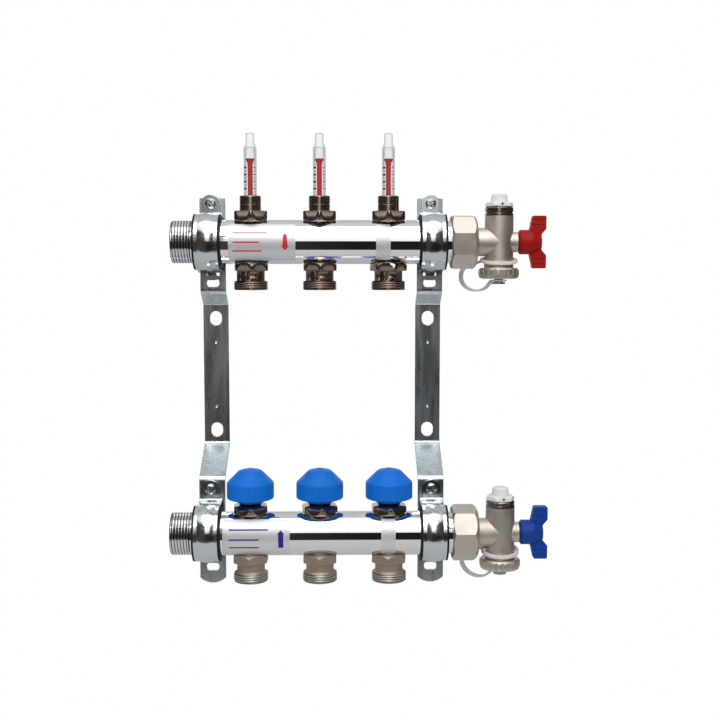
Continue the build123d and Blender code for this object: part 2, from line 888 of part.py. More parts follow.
def make_vent_cap(axis_y, axis_z, height):
    """The white vent cap: a six-sided flange, a spout with a square key hole and a side hole."""
    base = tee_top + height + free_clearance
    stem_bottom = tee_top + height - vent_bore_depth + free_clearance
    flange_top = base + vent_flange_height
    top = flange_top + vent_spout_height
    corner = vent_flange_across_flats / sqrt(3)
    with BuildPart() as cap:
        with BuildSketch(level(tee_x, axis_y, axis_z + base)):
            RegularPolygon(vent_flange_across_flats / 2, 6, major_radius=False, rotation=vent_hole_turn)
        extrude(amount=vent_flange_height)
        revolve(
            outline(
                facing(tee_x, axis_y, axis_z),
                (0, base),
                (corner, base),
                (corner, base + vent_flange_height / 3),
                (corner - 2 * vent_flange_taper, flange_top),
                (0, flange_top),
            ),
            axis=Axis((tee_x, axis_y, axis_z), (0, 0, 1)),
            mode=Mode.INTERSECT,
        )
        revolve(
            outline(
                facing(tee_x, axis_y, axis_z),
                (0, stem_bottom),
                (vent_bore_radius - free_clearance, stem_bottom),
                (vent_bore_radius - free_clearance, base),
                (vent_spout_radius, base),
                (vent_spout_radius, flange_top),
                (vent_spout_top_radius, top - vent_flange_taper),
                (vent_spout_top_radius - vent_flange_taper, top),
                (0, top),
            ),
            axis=Axis((tee_x, axis_y, axis_z), (0, 0, 1)),
        )
        with BuildSketch(level(tee_x, axis_y, axis_z + top)):
            Rectangle(vent_key_width, vent_key_width, rotation=vent_hole_turn)
        extrude(amount=-vent_key_depth, mode=Mode.SUBTRACT)
        turned = radians(vent_hole_turn)
        hole = Plane(
            origin=(tee_x, axis_y, axis_z + base + vent_flange_height / 2),
            x_dir=(cos(turned), sin(turned), 0),
            z_dir=(sin(turned), -cos(turned), 0),
        )
        with BuildSketch(hole):
            Circle(vent_hole_radius)
        extrude(amount=corner, mode=Mode.SUBTRACT)
    return cap.part


drain_cap_top = -tee_bottom - drain_neck_height
drain_cap_bottom = drain_cap_top - drain_cap_height
drain_floor = drain_cap_bottom + drain_cap_floor
knob_bottom = drain_cap_bottom - knob_stem_height - knob_height


def make_drain_cap(axis_y, axis_z):
    """The drain's cap: a fluted cup on the male thread with a knob below that holds the strap's eye."""
    upright = Axis((tee_x, axis_y, axis_z), (0, 0, 1))
    with BuildPart() as cap:
        revolve(
            outline(
                facing(tee_x, axis_y, axis_z),
                (0, knob_bottom),
                (knob_radius, knob_bottom),
                (knob_radius, knob_bottom + knob_height),
                (knob_stem_radius, knob_bottom + knob_height),
                (knob_stem_radius, drain_cap_bottom),
                (drain_cap_radius - 2 * drain_cap_round, drain_cap_bottom),
                (drain_cap_radius - drain_cap_round / 2, drain_cap_bottom + drain_cap_round / 2),
                (drain_cap_radius, drain_cap_bottom + 2 * drain_cap_round),
                (drain_cap_radius, drain_cap_top - drain_cap_chamfer),
                (drain_cap_radius - drain_cap_chamfer, drain_cap_top),
                (drain_thread_radius + running_clearance, drain_cap_top),
                (drain_thread_radius + running_clearance, drain_floor),
                (0, drain_floor),
            ),
            axis=upright,
        )
        with BuildSketch(level(tee_x, axis_y, axis_z + drain_cap_bottom)):
            with PolarLocations(drain_cap_radius - drain_flute_depth + drain_flute_radius, drain_cap_flutes):
                Circle(drain_flute_radius)
        extrude(amount=drain_cap_height, mode=Mode.SUBTRACT)
    return cap.part


def make_washer(axis_y, axis_z):
    """The sealing washer that lies on the drain cap's floor."""
    with BuildPart() as washer:
        with BuildSketch(level(tee_x, axis_y, axis_z + drain_floor)):
            Circle(washer_radius)
            Circle(washer_bore_radius, mode=Mode.SUBTRACT)
        extrude(amount=washer_height)
    return washer.part


def make_strap(axis_y, axis_z):
    """The flat moulded strap: a tilted ring round the drain's neck, the strap and the eye on the knob."""
    tilt = radians(strap_ring_tilt)
    swing = radians(strap_swing)
    ring_plane = Plane(
        origin=(tee_x, axis_y, axis_z - strap_ring_drop),
        x_dir=(1, 0, 0),
        z_dir=(0, -sin(tilt), cos(tilt)),
    )
    loop_plane = Plane(
        origin=(tee_x, axis_y, axis_z),
        x_dir=(-cos(swing), sin(swing), 0),
        z_dir=(sin(swing), cos(swing), 0),
    )
    eye_bottom = knob_bottom + knob_height + (knob_stem_height - strap_eye_thickness) / 2
    with BuildPart() as strap:
        with BuildSketch(ring_plane):
            Circle(strap_ring_radius)
            Circle(strap_ring_bore, mode=Mode.SUBTRACT)
        extrude(amount=strap_ring_thickness)
        with BuildSketch(level(tee_x, axis_y, axis_z + eye_bottom)):
            Circle(strap_eye_radius)
            Circle(strap_eye_bore, mode=Mode.SUBTRACT)
        extrude(amount=strap_eye_thickness)
        with BuildSketch(loop_plane):
            with BuildLine():
                FilletPolyline(
                    (strap_ring_radius - strap_ring_thickness / 2, -strap_ring_drop + strap_ring_thickness),
                    (strap_loop_reach, -strap_loop_shoulder),
                    (strap_loop_reach - strap_thickness, -strap_loop_elbow),
                    (strap_loop_low_reach, -strap_loop_low),
                    (strap_eye_radius - strap_thickness / 2, eye_bottom + strap_eye_thickness / 2),
                    radius=strap_bend,
                )
            trace(line_width=strap_thickness)
        extrude(amount=strap_width / 2, both=True)
    return strap.part


def make_bracket(x):
    """A cranked steel strip: both ends stand off the wall, the middle lies on it with two upright slots."""
    lean = tan(radians(crank_angle))
    half = strip_thickness / 2
    supply_y = supply_seat_y + half
    return_y = return_seat_y + half
    upper_crank = supply_axis_z - crank_from_axis
    lower_crank = return_axis_z + crank_from_axis
    top = supply_axis_z + strip_above_supply
    bottom = return_axis_z - strip_below_return
    end_radius = (strip_width**2 / 4 + strip_end_sag**2) / (2 * strip_end_sag)
    with BuildPart() as bracket:
        with BuildSketch(across(x, 0, 0)):
            with BuildLine():
                FilletPolyline(
                    (supply_y, top),
                    (supply_y, upper_crank),
                    (-half, upper_crank - supply_stand_off / lean),
                    (-half, lower_crank + return_stand_off / lean),
                    (return_y, lower_crank),
                    (return_y, bottom),
                    radius=crank_inner_radius + half,
                )
            trace(line_width=strip_thickness)
        extrude(amount=strip_width / 2, both=True)
        with BuildSketch(facing(x, 0, 0)):
            for side in (1, -1):
                with Locations((0, side * wall_slot_spacing / 2)):
                    SlotOverall(wall_slot_length, wall_slot_width, rotation=90)
            for axis_z in (supply_axis_z, return_axis_z):
                with Locations((0, axis_z - (axis_to_seat + tongue_slot_bottom) / 2)):
                    Rectangle(tongue_slot_width, tongue_slot_bottom - axis_to_seat)
                with Locations((0, axis_z - window_top - window_height / 2)):
                    RectangleRounded(window_width, window_height, window_corner)
        extrude(amount=-return_seat_y + strip_thickness, both=True, mode=Mode.SUBTRACT)
        for clamp_x, axis_z in ((c, z) for c in clamp_xs for z in (supply_axis_z, return_axis_z)):
            if abs(clamp_x - x) < strip_width / 2:
                with BuildSketch(facing(clamp_x, 0, axis_z + screw_height)):
                    Circle(screw_radius + screw_hole_clearance)
                extrude(amount=-return_seat_y + strip_thickness, both=True, mode=Mode.SUBTRACT)
        with BuildSketch(facing(x, 0, bottom)):
            with Locations((0, strip_end_sag / 2)):
                Rectangle(2 * strip_width, strip_end_sag)
            with Locations((0, end_radius)):
                Circle(end_radius, mode=Mode.SUBTRACT)
        extrude(amount=-return_seat_y, mode=Mode.SUBTRACT)
        corners = bracket.edges().filter_by(Axis.Y).group_by(Axis.Z)[-1]
        fillet(corners, strip_corner_radius)
        for side in (1, -1):
            middle = side * dimple_spacing / 2
            revolve(dimple_outline(x, middle), axis=Axis((x, 0, middle), (0, 1, 0)), mode=Mode.SUBTRACT)
    return bracket.part


def dimple_outline(x, z):
    """Half the section of a small punched cone in the front of the bracket's middle."""
    plane = Plane(origin=(x, -strip_thickness, z), x_dir=(1, 0, 0), z_dir=(0, 0, 1))
    return outline(plane, (0, 0), (dimple_radius, 0), (0, dimple_depth))


def make_band(x, axis_y, axis_z):
    """A clamp's steel band: tab with screw hole, top leg, half round over the bar and the hooked tongue."""
    reach = band_reach
    slope = radians(tongue_slope)
    tab = axis_to_seat - band_thickness / 2
    hook = axis_to_seat + strip_thickness + tongue_gap + band_thickness / 2
    leave = (-reach * sin(slope), -reach * cos(slope))
    side = across(x, axis_y, axis_z)
    with BuildPart() as band:
        with BuildSketch(side):
            with BuildLine():
                leg = FilletPolyline(
                    (tab, band_tab_top),
                    (tab, reach),
                    (0, reach),
                    radius=band_tab_bend_radius + band_thickness / 2,
                )
                turn = ThreePointArc(leg @ 1, (-reach, 0), leave)
                FilletPolyline(
                    turn @ 1,
                    (hook, -tongue_drop(hook)),
                    (hook, -window_top - tongue_peek),
                    radius=tongue_bend_radius + band_thickness / 2,
                )
            trace(line_width=band_thickness)
        extrude(amount=band_width / 2, both=True)
        add(make_bead(x, axis_y, axis_z))
        with BuildSketch(facing(x, axis_y, axis_z)):
            with Locations((0, (reach + band_tab_top) / 2 + band_tab_bend_radius)):
                Rectangle(2 * band_width, band_tab_top - reach)
            with Locations((0, band_tab_top - band_tab_width / 2)):
                Circle(band_tab_width / 2, mode=Mode.SUBTRACT)
            with Locations((0, band_tab_top - band_tab_width)):
                Rectangle(band_tab_width, band_tab_width, mode=Mode.SUBTRACT)
            with Locations((0, screw_height)):
                Circle(screw_radius + screw_hole_clearance)
        extrude(amount=-2 * axis_to_seat, mode=Mode.SUBTRACT)
        with BuildSketch(level(x, axis_y + axis_to_seat, axis_z - reach)):
            for hand in (1, -1):
                with Locations((hand * (tongue_width + band_width) / 2, 0)):
                    Rectangle(band_width, 2 * (hook - axis_to_seat + band_thickness))
        extrude(amount=window_top + tongue_peek - reach + band_thickness, both=True, mode=Mode.SUBTRACT)
    return band.part


def make_bead(x, axis_y, axis_z):
    """The crown swaged into a band, a shallow arc across it that runs round its front half."""
    base = band_reach + band_thickness / 2
    with BuildPart() as bead:
        with BuildSketch(facing(x, axis_y, axis_z)):
            with BuildLine():
                crown = ThreePointArc((-bead_width / 2, base), (0, base + bead_height), (bead_width / 2, base))
                Polyline(crown @ 1, (bead_width / 2, band_reach), (-bead_width / 2, band_reach), crown @ 0)
            make_face()
        revolve(axis=Axis((x, axis_y, axis_z), (1, 0, 0)))
        with BuildSketch(facing(x, axis_y, axis_z)):
            Rectangle(2 * bead_width, 4 * base)
        extrude(amount=-2 * base, mode=Mode.SUBTRACT)
    return bead.part


def make_rubber(x, axis_y, axis_z):
    """A clamp's rubber lining: a ring round the bar whose two lips wrap the edges of the band."""
    inside = bar_radius
    outside = bar_radius + rubber_thickness
    lip = outside + band_thickness
    half, band_half = rubber_width / 2, band_width / 2
    with BuildPart() as rubber:
        revolve(
            outline(
                facing(x, axis_y, axis_z),
                (-half, inside),
                (-half, lip),
                (-band_half, lip),
                (-band_half, outside),
                (band_half, outside),
                (band_half, lip),
                (half, lip),
                (half, inside),
            ),
            axis=Axis((x, axis_y, axis_z), (1, 0, 0)),
        )
        with BuildSketch(facing(x, axis_y + axis_to_seat, axis_z)):
            Rectangle(2 * rubber_width, 4 * lip)
        extrude(amount=-lip, mode=Mode.SUBTRACT)
        with BuildSketch(across(x, axis_y, axis_z)):
            for side in (1, -1):
                with Locations((lip / 2, side * (outside + lip))):
                    Rectangle(lip, 2 * lip)
        extrude(amount=rubber_width, both=True, mode=Mode.SUBTRACT)
    return rubber.part


def make_screw(x, axis_y, axis_z):
    """A clamp's cross-recessed pan-head screw, through the tab and into the bracket."""
    under_head = axis_y + axis_to_seat - band_thickness
    z = axis_z + screw_height
    into_wall = Axis((x, under_head, z), (0, 1, 0))
    plan = level(x, under_head, z)
    with BuildPart() as screw:
        revolve(
            outline(
                plan,
                (0, screw_length),
                (screw_radius - screw_tip_chamfer, screw_length),
                (screw_radius, screw_length - screw_tip_chamfer),
                (screw_radius, 0),
                (screw_head_radius, 0),
                (screw_head_radius, -screw_head_height / 2),
                (screw_crown_radius, -screw_crown_height),
                (0, -screw_head_height),
            ),
            axis=into_wall,
        )
        with BuildSketch(facing(x, under_head - screw_head_height, z)):
            Rectangle(recess_length, recess_width, rotation=45)
            Rectangle(recess_width, recess_length, rotation=45)
        extrude(amount=-recess_depth, mode=Mode.SUBTRACT)
    return screw.part


def group(parts):
    """Several separate solids that share one node."""
    return Compound(children=list(parts))


tongue_slot_bottom = tongue_drop(axis_to_seat + strip_thickness) + band_thickness / 2 + tongue_play
window_top = tongue_slot_bottom + web_height

# Bars with their outlets, meters and valves
save(make_bar(*supply_axis), "supply_bar")
save(make_bar(*return_axis), "return_bar")
for i, x in enumerate(outlet_xs):
    spot = i % 3
    number = i + 1
    save(
        make_outlet(x, *supply_axis, supply_outlet_turns[spot], supply_neck_radius, supply_neck_taper),
        f"supply_outlet_{number}",
    )
    save(
        make_outlet(x, *return_axis, return_outlet_turns[spot], return_neck_radius, return_neck_taper),
        f"return_outlet_{number}",
    )
    save(make_meter_body(x, *supply_axis, meter_turns[spot]), f"flow_body_{number}")
    save(make_throttle(x, *supply_axis), f"flow_spindle_{number}")
    save(make_sleeve(x, *supply_axis), f"flow_sleeve_{number}")
    save(make_sight_glass(x, *supply_axis), f"sight_glass_{number}")
    save(make_indicator(x, *supply_axis), f"flow_indicator_{number}")
    save(make_insert(x, *return_axis, insert_turns[spot]), f"valve_insert_{number}")
    save(make_valve_stem(x, *return_axis), f"valve_spindle_{number}")
    save(make_valve_cap(x, *return_axis), f"valve_cap_{number}")

# End sets
for side, axis, vent_height in (
    ("supply", supply_axis, supply_vent_height),
    ("return", return_axis, return_vent_height),
):
    save(make_end_piece(*axis), f"{side}_end_piece")
    save(make_vent(*axis, vent_height), f"{side}_vent")
    save(make_vent_cap(*axis, vent_height), f"{side}_vent_cap")
    save(make_ball(*axis), f"{side}_drain_ball")
    save(make_stem(*axis), f"{side}_drain_stem")
    save(make_handle(*axis), f"{side}_drain_handle")
    save(make_drain_cap(*axis), f"{side}_drain_cap")
    save(make_washer(*axis), f"{side}_drain_washer")
    save(make_strap(*axis), f"{side}_drain_strap")

# Brackets, clamps and the other pieces that repeat
for name, x in zip(("left_bracket", "right_bracket"), bracket_xs):
    save(make_bracket(x), name)
seats = [(x, *axis) for x in clamp_xs for axis in (supply_axis, return_axis)]
save(group(make_band(*seat) for seat in seats), "clamp_bands")
save(group(make_rubber(*seat) for seat in seats), "clamp_rubbers")
save(group(make_screw(*seat) for seat in seats), "clamp_screws")
nut_turns = ((supply_axis, supply_nut_turn), (return_axis, return_nut_turn))
save(group(make_union_nut(*axis, turn) for axis, turn in nut_turns), "union_nuts")
save(group(make_gasket(*axis) for axis in (supply_axis, return_axis)), "union_gaskets")
save(group(make_seat_ring(*axis) for axis in (supply_axis, return_axis)), "drain_seats")
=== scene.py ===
"""Heating manifold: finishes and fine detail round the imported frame, laid out as an add-on."""

import json
import math

import bpy
from bpy.props import FloatProperty, FloatVectorProperty, IntProperty, PointerProperty
from mathutils import Matrix, Vector


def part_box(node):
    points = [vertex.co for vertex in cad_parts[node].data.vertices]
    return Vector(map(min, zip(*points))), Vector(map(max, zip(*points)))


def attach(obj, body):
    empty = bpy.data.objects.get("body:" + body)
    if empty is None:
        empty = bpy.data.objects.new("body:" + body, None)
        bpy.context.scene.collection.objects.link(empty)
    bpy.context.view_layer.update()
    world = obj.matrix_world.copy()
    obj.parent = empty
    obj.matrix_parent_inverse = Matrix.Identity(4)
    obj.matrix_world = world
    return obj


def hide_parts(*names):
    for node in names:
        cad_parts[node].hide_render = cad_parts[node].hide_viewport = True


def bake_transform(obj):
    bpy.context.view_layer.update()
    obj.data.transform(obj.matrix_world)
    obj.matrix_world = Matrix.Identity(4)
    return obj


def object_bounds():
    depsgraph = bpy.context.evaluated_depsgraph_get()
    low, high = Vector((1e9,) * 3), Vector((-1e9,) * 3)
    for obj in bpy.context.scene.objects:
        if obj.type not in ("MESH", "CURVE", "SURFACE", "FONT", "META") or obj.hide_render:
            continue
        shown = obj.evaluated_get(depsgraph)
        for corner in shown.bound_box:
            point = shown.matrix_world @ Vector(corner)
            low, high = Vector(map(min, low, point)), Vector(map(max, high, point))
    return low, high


bl_info = {
    "name": "Heating manifold",
    "version": (1, 0, 0),
    "blender": (4, 5, 0),
    "location": "View3D > Sidebar > Manifold",
    "description": "Dresses a three-way heating manifold: metal, plastic, threads, labels, scales and straps",
    "category": "Object",
}

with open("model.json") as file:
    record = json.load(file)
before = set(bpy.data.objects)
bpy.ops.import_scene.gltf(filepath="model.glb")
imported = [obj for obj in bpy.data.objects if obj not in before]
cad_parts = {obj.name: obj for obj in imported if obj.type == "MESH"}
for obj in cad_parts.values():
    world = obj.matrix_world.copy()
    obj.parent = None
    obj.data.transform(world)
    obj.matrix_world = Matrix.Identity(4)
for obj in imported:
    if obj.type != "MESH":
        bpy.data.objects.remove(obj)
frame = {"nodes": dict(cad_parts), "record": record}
CAD_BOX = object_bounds()


def middle(node):
    """The middle of a CAD node's box."""
    low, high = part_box(node)
    return (low + high) / 2


BAR_AXIS = {side: middle(f"{side}_bar") for side in ("supply", "return")}
BAR_RADIUS = (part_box("supply_bar")[1].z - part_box("supply_bar")[0].z) / 2
BAR_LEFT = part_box("supply_bar")[0].x
OUTLET_X = [middle(f"supply_outlet_{i}").x for i in (1, 2, 3)]
OUTLET_END = {side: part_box(f"{side}_outlet_1")[0].z for side in ("supply", "return")}
DRAIN_X = middle("supply_vent").x

# Radii of the solids that carry the scene's own pieces, in metres
OUTLET_THREAD_RADIUS = 0.01322
END_THREAD_RADIUS = 0.016625
GLASS_RADIUS = 0.00525

# How far a thin piece stands off what it covers, and how thick the print is
STAND_OFF = 0.00002
INK_THICKNESS = 0.00003
INK_LIFT = 0.00004


# Sizes and colours that a user may change

class MetalSettings(bpy.types.PropertyGroup):
    """Colours and polish of the metal pieces."""

    polished: FloatVectorProperty(
        name="Polished tube", description="Colour of the polished bars", subtype="COLOR", size=3,
        min=0, max=1, default=(0.93, 0.93, 0.94))
    polish: FloatProperty(
        name="Tube roughness", description="How dull the polished bars are", subtype="FACTOR",
        min=0, max=1, default=0.05)
    dark: FloatVectorProperty(
        name="Dark nickel", description="Colour of the bright nickel-plated fittings", subtype="COLOR",
        size=3, min=0, max=1, default=(0.34, 0.275, 0.24))
    dark_polish: FloatProperty(
        name="Dark nickel roughness", description="How dull the bright fittings are", subtype="FACTOR",
        min=0, max=1, default=0.19)
    satin: FloatVectorProperty(
        name="Satin nickel", description="Colour of the matt nickel-plated fittings", subtype="COLOR", size=3,
        min=0, max=1, default=(0.74, 0.68, 0.61))
    satin_polish: FloatProperty(
        name="Satin roughness", description="How dull the matt fittings are", subtype="FACTOR",
        min=0, max=1, default=0.5)
    # A lighter, matt copy of the nickel for the return outlets: painted light, standing in for the light that
    # their shiny flats reflect.
    painted_light_outlet: FloatVectorProperty(
        name="Return nickel with painted light", description="Colour of the return outlets", subtype="COLOR", size=3,
        min=0, max=1, default=(0.62, 0.52, 0.43))
    worn: FloatVectorProperty(
        name="Worn thread", description="Colour of the supply outlets' threads", subtype="COLOR", size=3,
        min=0, max=1, default=(0.34, 0.26, 0.21))
    zinc: FloatVectorProperty(
        name="Zinc", description="Colour of the zinc-plated strip, bands and screws", subtype="COLOR", size=3,
        min=0, max=1, default=(0.70, 0.76, 0.78))
    zinc_polish: FloatProperty(
        name="Zinc roughness", description="How dull the zinc plate is", subtype="FACTOR",
        min=0, max=1, default=0.22)
    fitting_turn: FloatProperty(
        name="Fitting turn", description="How far the screwed-in fittings are turned further",
        subtype="ANGLE", default=math.radians(30))
    brass: FloatVectorProperty(
        name="Brass", description="Colour of the bare turned brass", subtype="COLOR", size=3,
        min=0, max=1, default=(0.78, 0.60, 0.34))


class PlasticSettings(bpy.types.PropertyGroup):
    """Colours of the moulded pieces."""

    cap_blue: FloatVectorProperty(
        name="Cap blue", description="Colour of the valve caps", subtype="COLOR", size=3,
        min=0, max=1, default=(0.002, 0.165, 0.68))
    handle_red: FloatVectorProperty(
        name="Handle red", description="Colour of the supply handle", subtype="COLOR", size=3,
        min=0, max=1, default=(0.37, 0.005, 0.003))
    handle_blue: FloatVectorProperty(
        name="Handle blue", description="Colour of the return handle", subtype="COLOR", size=3,
        min=0, max=1, default=(0.004, 0.055, 0.32))
    indicator_red: FloatVectorProperty(
        name="Indicator red", description="Colour of the flow indicators", subtype="COLOR", size=3,
        min=0, max=1, default=(0.66, 0.008, 0.014))
    vent_white: FloatVectorProperty(
        name="Vent white", description="Colour of the vent caps", subtype="COLOR", size=3,
        min=0, max=1, default=(0.80, 0.79, 0.76))
    strap_grey: FloatVectorProperty(
        name="Strap grey", description="Colour of the drain cap straps", subtype="COLOR", size=3,
        min=0, max=1, default=(0.78, 0.73, 0.72))
    roughness: FloatProperty(
        name="Plastic roughness", description="How dull the moulded pieces are", subtype="FACTOR",
        min=0, max=1, default=0.42)


class ThreadSettings(bpy.types.PropertyGroup):
    """Form of the pipe threads."""

    outlet_pitch: FloatProperty(
        name="Outlet pitch", description="Distance between two crests on the outlets", unit="LENGTH",
        min=0.0005, max=0.004, default=0.001814, precision=6)
    end_pitch: FloatProperty(
        name="Bar end pitch", description="Distance between two crests on the bars' ends", unit="LENGTH",
        min=0.0005, max=0.004, default=0.002309, precision=6)
    crest: FloatProperty(
        name="Crest height", description="How far the crests stand over the core", unit="LENGTH",
        min=0.0001, max=0.001, default=0.00045, precision=6)
    steps: IntProperty(
        name="Steps round", description="Divisions of one turn", min=24, max=96, default=56)


class LabelSettings(bpy.types.PropertyGroup):
    """The films on the bars and what is printed on them."""

    film: FloatVectorProperty(
        name="Film", description="Colour of the silvered film", subtype="COLOR", size=3,
        min=0, max=1, default=(0.80, 0.80, 0.83))
    supply_ink: FloatVectorProperty(
        name="Supply ink", description="Colour of the print on the supply bar", subtype="COLOR", size=3,
        min=0, max=1, default=(0.70, 0.012, 0.012))
    return_ink: FloatVectorProperty(
        name="Return ink", description="Colour of the print on the return bar", subtype="COLOR", size=3,
        min=0, max=1, default=(0.010, 0.010, 0.22))
    thickness: FloatProperty(
        name="Film thickness", description="Thickness of the film", unit="LENGTH",
        min=0.00002, max=0.0005, default=0.00008, precision=6)


class ScaleSettings(bpy.types.PropertyGroup):
    """The scales on the sight glasses."""

    lowest: FloatProperty(
        name="Lowest mark", description="Height of the lowest mark above the bar's middle", unit="LENGTH",
        min=0.03, max=0.07, default=0.0420, precision=4)
    spacing: FloatProperty(
        name="Spacing", description="Distance between two long marks", unit="LENGTH",
        min=0.002, max=0.01, default=0.0055, precision=4)
    marks: IntProperty(name="Marks", description="Number of long marks", min=2, max=8, default=4)


class StageSettings(bpy.types.PropertyGroup):
    """The camera, the light and the floor."""

    camera_place: FloatVectorProperty(
        name="Camera place", description="Where the lens is", subtype="TRANSLATION", unit="LENGTH", size=3,
        default=(0.10468, -0.91087, 0.08555))
    pitch: FloatProperty(
        name="Tilt down", description="How far the camera looks down", subtype="ANGLE",
        default=math.radians(4.646))
    yaw: FloatProperty(
        name="Turn right", description="How far the camera looks to the right", subtype="ANGLE",
        default=math.radians(1.011))
    lens: FloatProperty(
        name="Lens", description="Focal length in millimetres", min=10, max=200, default=54.08)
    floor_drop: FloatProperty(
        name="Floor drop", description="Distance from the brackets' lower ends down to the floor",
        unit="LENGTH", min=0, max=2, default=0.22)
    front_light: FloatProperty(
        name="Front light", description="Power of the front lamp", unit="POWER", min=0, default=9.0)
    top_light: FloatProperty(
        name="Top light", description="Power of the overhead lamp", unit="POWER", min=0, default=4.5)
    world_light: FloatProperty(
        name="Surround", description="Strength of the pale surround", min=0, default=0.55)


def sizes():
    """All settings, by group."""
    return bpy.context.scene.manifold


# Small helpers for modelling as by hand

def clear_selection():
    """Leave edit mode with nothing selected."""
    if bpy.context.object and bpy.context.object.mode != "OBJECT":
        bpy.ops.object.mode_set(mode="OBJECT")
    bpy.ops.object.select_all(action="DESELECT")


def name_piece(name):
    """Name the object in hand and put its place into its mesh."""
    piece = bpy.context.object
    piece.name = name
    piece.data.name = name
    bpy.ops.object.transform_apply(location=True, rotation=True, scale=True)
    return piece


def edit_all(piece):
    """Enter edit mode with everything on the piece selected."""
    clear_selection()
    piece.select_set(True)
    bpy.context.view_layer.objects.active = piece
    bpy.ops.object.mode_set(mode="EDIT")
    bpy.ops.mesh.select_all(action="SELECT")


def draw_line(name, points):
    """Draw an open line corner by corner, and leave it in edit mode with its last corner selected."""
    clear_selection()
    bpy.ops.mesh.primitive_plane_add(size=0.001, location=points[0])
    piece = name_piece(name)
    edit_all(piece)
    bpy.ops.mesh.merge(type="CENTER")
    for start, end in zip(points, points[1:]):
        step = Vector(end) - Vector(start)
        bpy.ops.mesh.extrude_region_move(TRANSFORM_OT_translate={"value": step})
    return piece


def clean_up(piece, gap=1e-6, angle=30):
    """Merge doubles, point the faces outwards and shade all but the sharp edges smooth."""
    edit_all(piece)
    bpy.ops.mesh.remove_doubles(threshold=gap)
    bpy.ops.mesh.normals_make_consistent(inside=False)
    bpy.ops.object.mode_set(mode="OBJECT")
    bpy.ops.object.shade_smooth_by_angle(angle=math.radians(angle))
    return piece


def turn_line(name, outline, steps=64):
    """Turn an outline of (radius, height) pairs round the upright axis."""
    piece = draw_line(name, [(r, 0, h) for r, h in outline])
    bpy.ops.mesh.select_all(action="SELECT")
    bpy.ops.mesh.spin(steps=steps, angle=2 * math.pi, center=(0, 0, 0), axis=(0, 0, 1))
    return clean_up(piece)


def apply_modifier(piece, kind, **settings):
    """Add a modifier, set it and apply it."""
    clear_selection()
    piece.select_set(True)
    bpy.context.view_layer.objects.active = piece
    modifier = piece.modifiers.new(kind.title(), kind)
    for key, value in settings.items():
        setattr(modifier, key, value)
    bpy.ops.object.modifier_apply(modifier=modifier.name)


def hand_over(piece, material, body):
    """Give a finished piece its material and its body."""
    piece.data.materials.clear()
    piece.data.materials.append(material)
    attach(piece, body)


# Materials

THREAD_HEIGHT = "thread_height"


class Finish:
    """A material whose nodes are added one by one."""

    def __init__(self, name):
        self.material = bpy.data.materials.new(name)
        self.material.use_nodes = True
        self.tree = self.material.node_tree
        self.shader = self.tree.nodes["Principled BSDF"]
        self.place = self.add("ShaderNodeTexCoord").outputs["Object"]

    def add(self, kind, **settings):
        """Add a node and set its own settings."""
        node = self.tree.nodes.new(kind)
        for key, value in settings.items():
            setattr(node, key, value)
        return node

    def link(self, start, end):
        """Join two sockets."""
        self.tree.links.new(start, end)

    def grain(self, stretch, size, detail=4.0, rough=0.6):
        """Noise over the object, stretched along the axes; gives its strength from 0 to 1."""
        mapping = self.add("ShaderNodeMapping")
        mapping.inputs["Scale"].default_value = stretch
        noise = self.add("ShaderNodeTexNoise")
        noise.inputs["Scale"].default_value = size
        noise.inputs["Detail"].default_value = detail
        noise.inputs["Roughness"].default_value = rough
        self.link(self.place, mapping.inputs["Vector"])
        self.link(mapping.outputs["Vector"], noise.inputs["Vector"])
        return noise.outputs["Fac"]

    def spread(self, value, low, high, start=0.3, end=0.7):
        """Map a noise's middle range onto a range of values."""
        node = self.add("ShaderNodeMapRange")
        node.inputs["From Min"].default_value = start
        node.inputs["From Max"].default_value = end
        node.inputs["To Min"].default_value = low
        node.inputs["To Max"].default_value = high
        self.link(value, node.inputs["Value"])
        return node.outputs["Result"]

    def tint(self, value, dark, light):
        """A ramp between two colours."""
        node = self.add("ShaderNodeValToRGB")
        node.color_ramp.elements[0].position = 0.3
        node.color_ramp.elements[1].position = 0.7
        node.color_ramp.elements[0].color = (*dark, 1)
        node.color_ramp.elements[1].color = (*light, 1)
        self.link(value, node.inputs["Fac"])
        return node.outputs["Color"]

    def relief(self, value, distance, strength=1.0, edge=0.0):
        """Use a noise as fine relief, over edges rounded by the given radius."""
        bump = self.add("ShaderNodeBump")
        bump.inputs["Distance"].default_value = distance
        bump.inputs["Strength"].default_value = strength
        self.link(value, bump.inputs["Height"])
        if edge:
            bevel = self.add("ShaderNodeBevel", samples=4)
            bevel.inputs["Radius"].default_value = edge
            self.link(bevel.outputs["Normal"], bump.inputs["Normal"])
        self.link(bump.outputs["Normal"], self.shader.inputs["Normal"])

    def set(self, **values):
        """Set the shader's own sockets."""
        for key, value in values.items():
            self.shader.inputs[key.replace("_", " ")].default_value = value


def shade(colour, factor):
    """A colour made darker or lighter."""
    return tuple(min(1.0, c * factor) for c in colour)


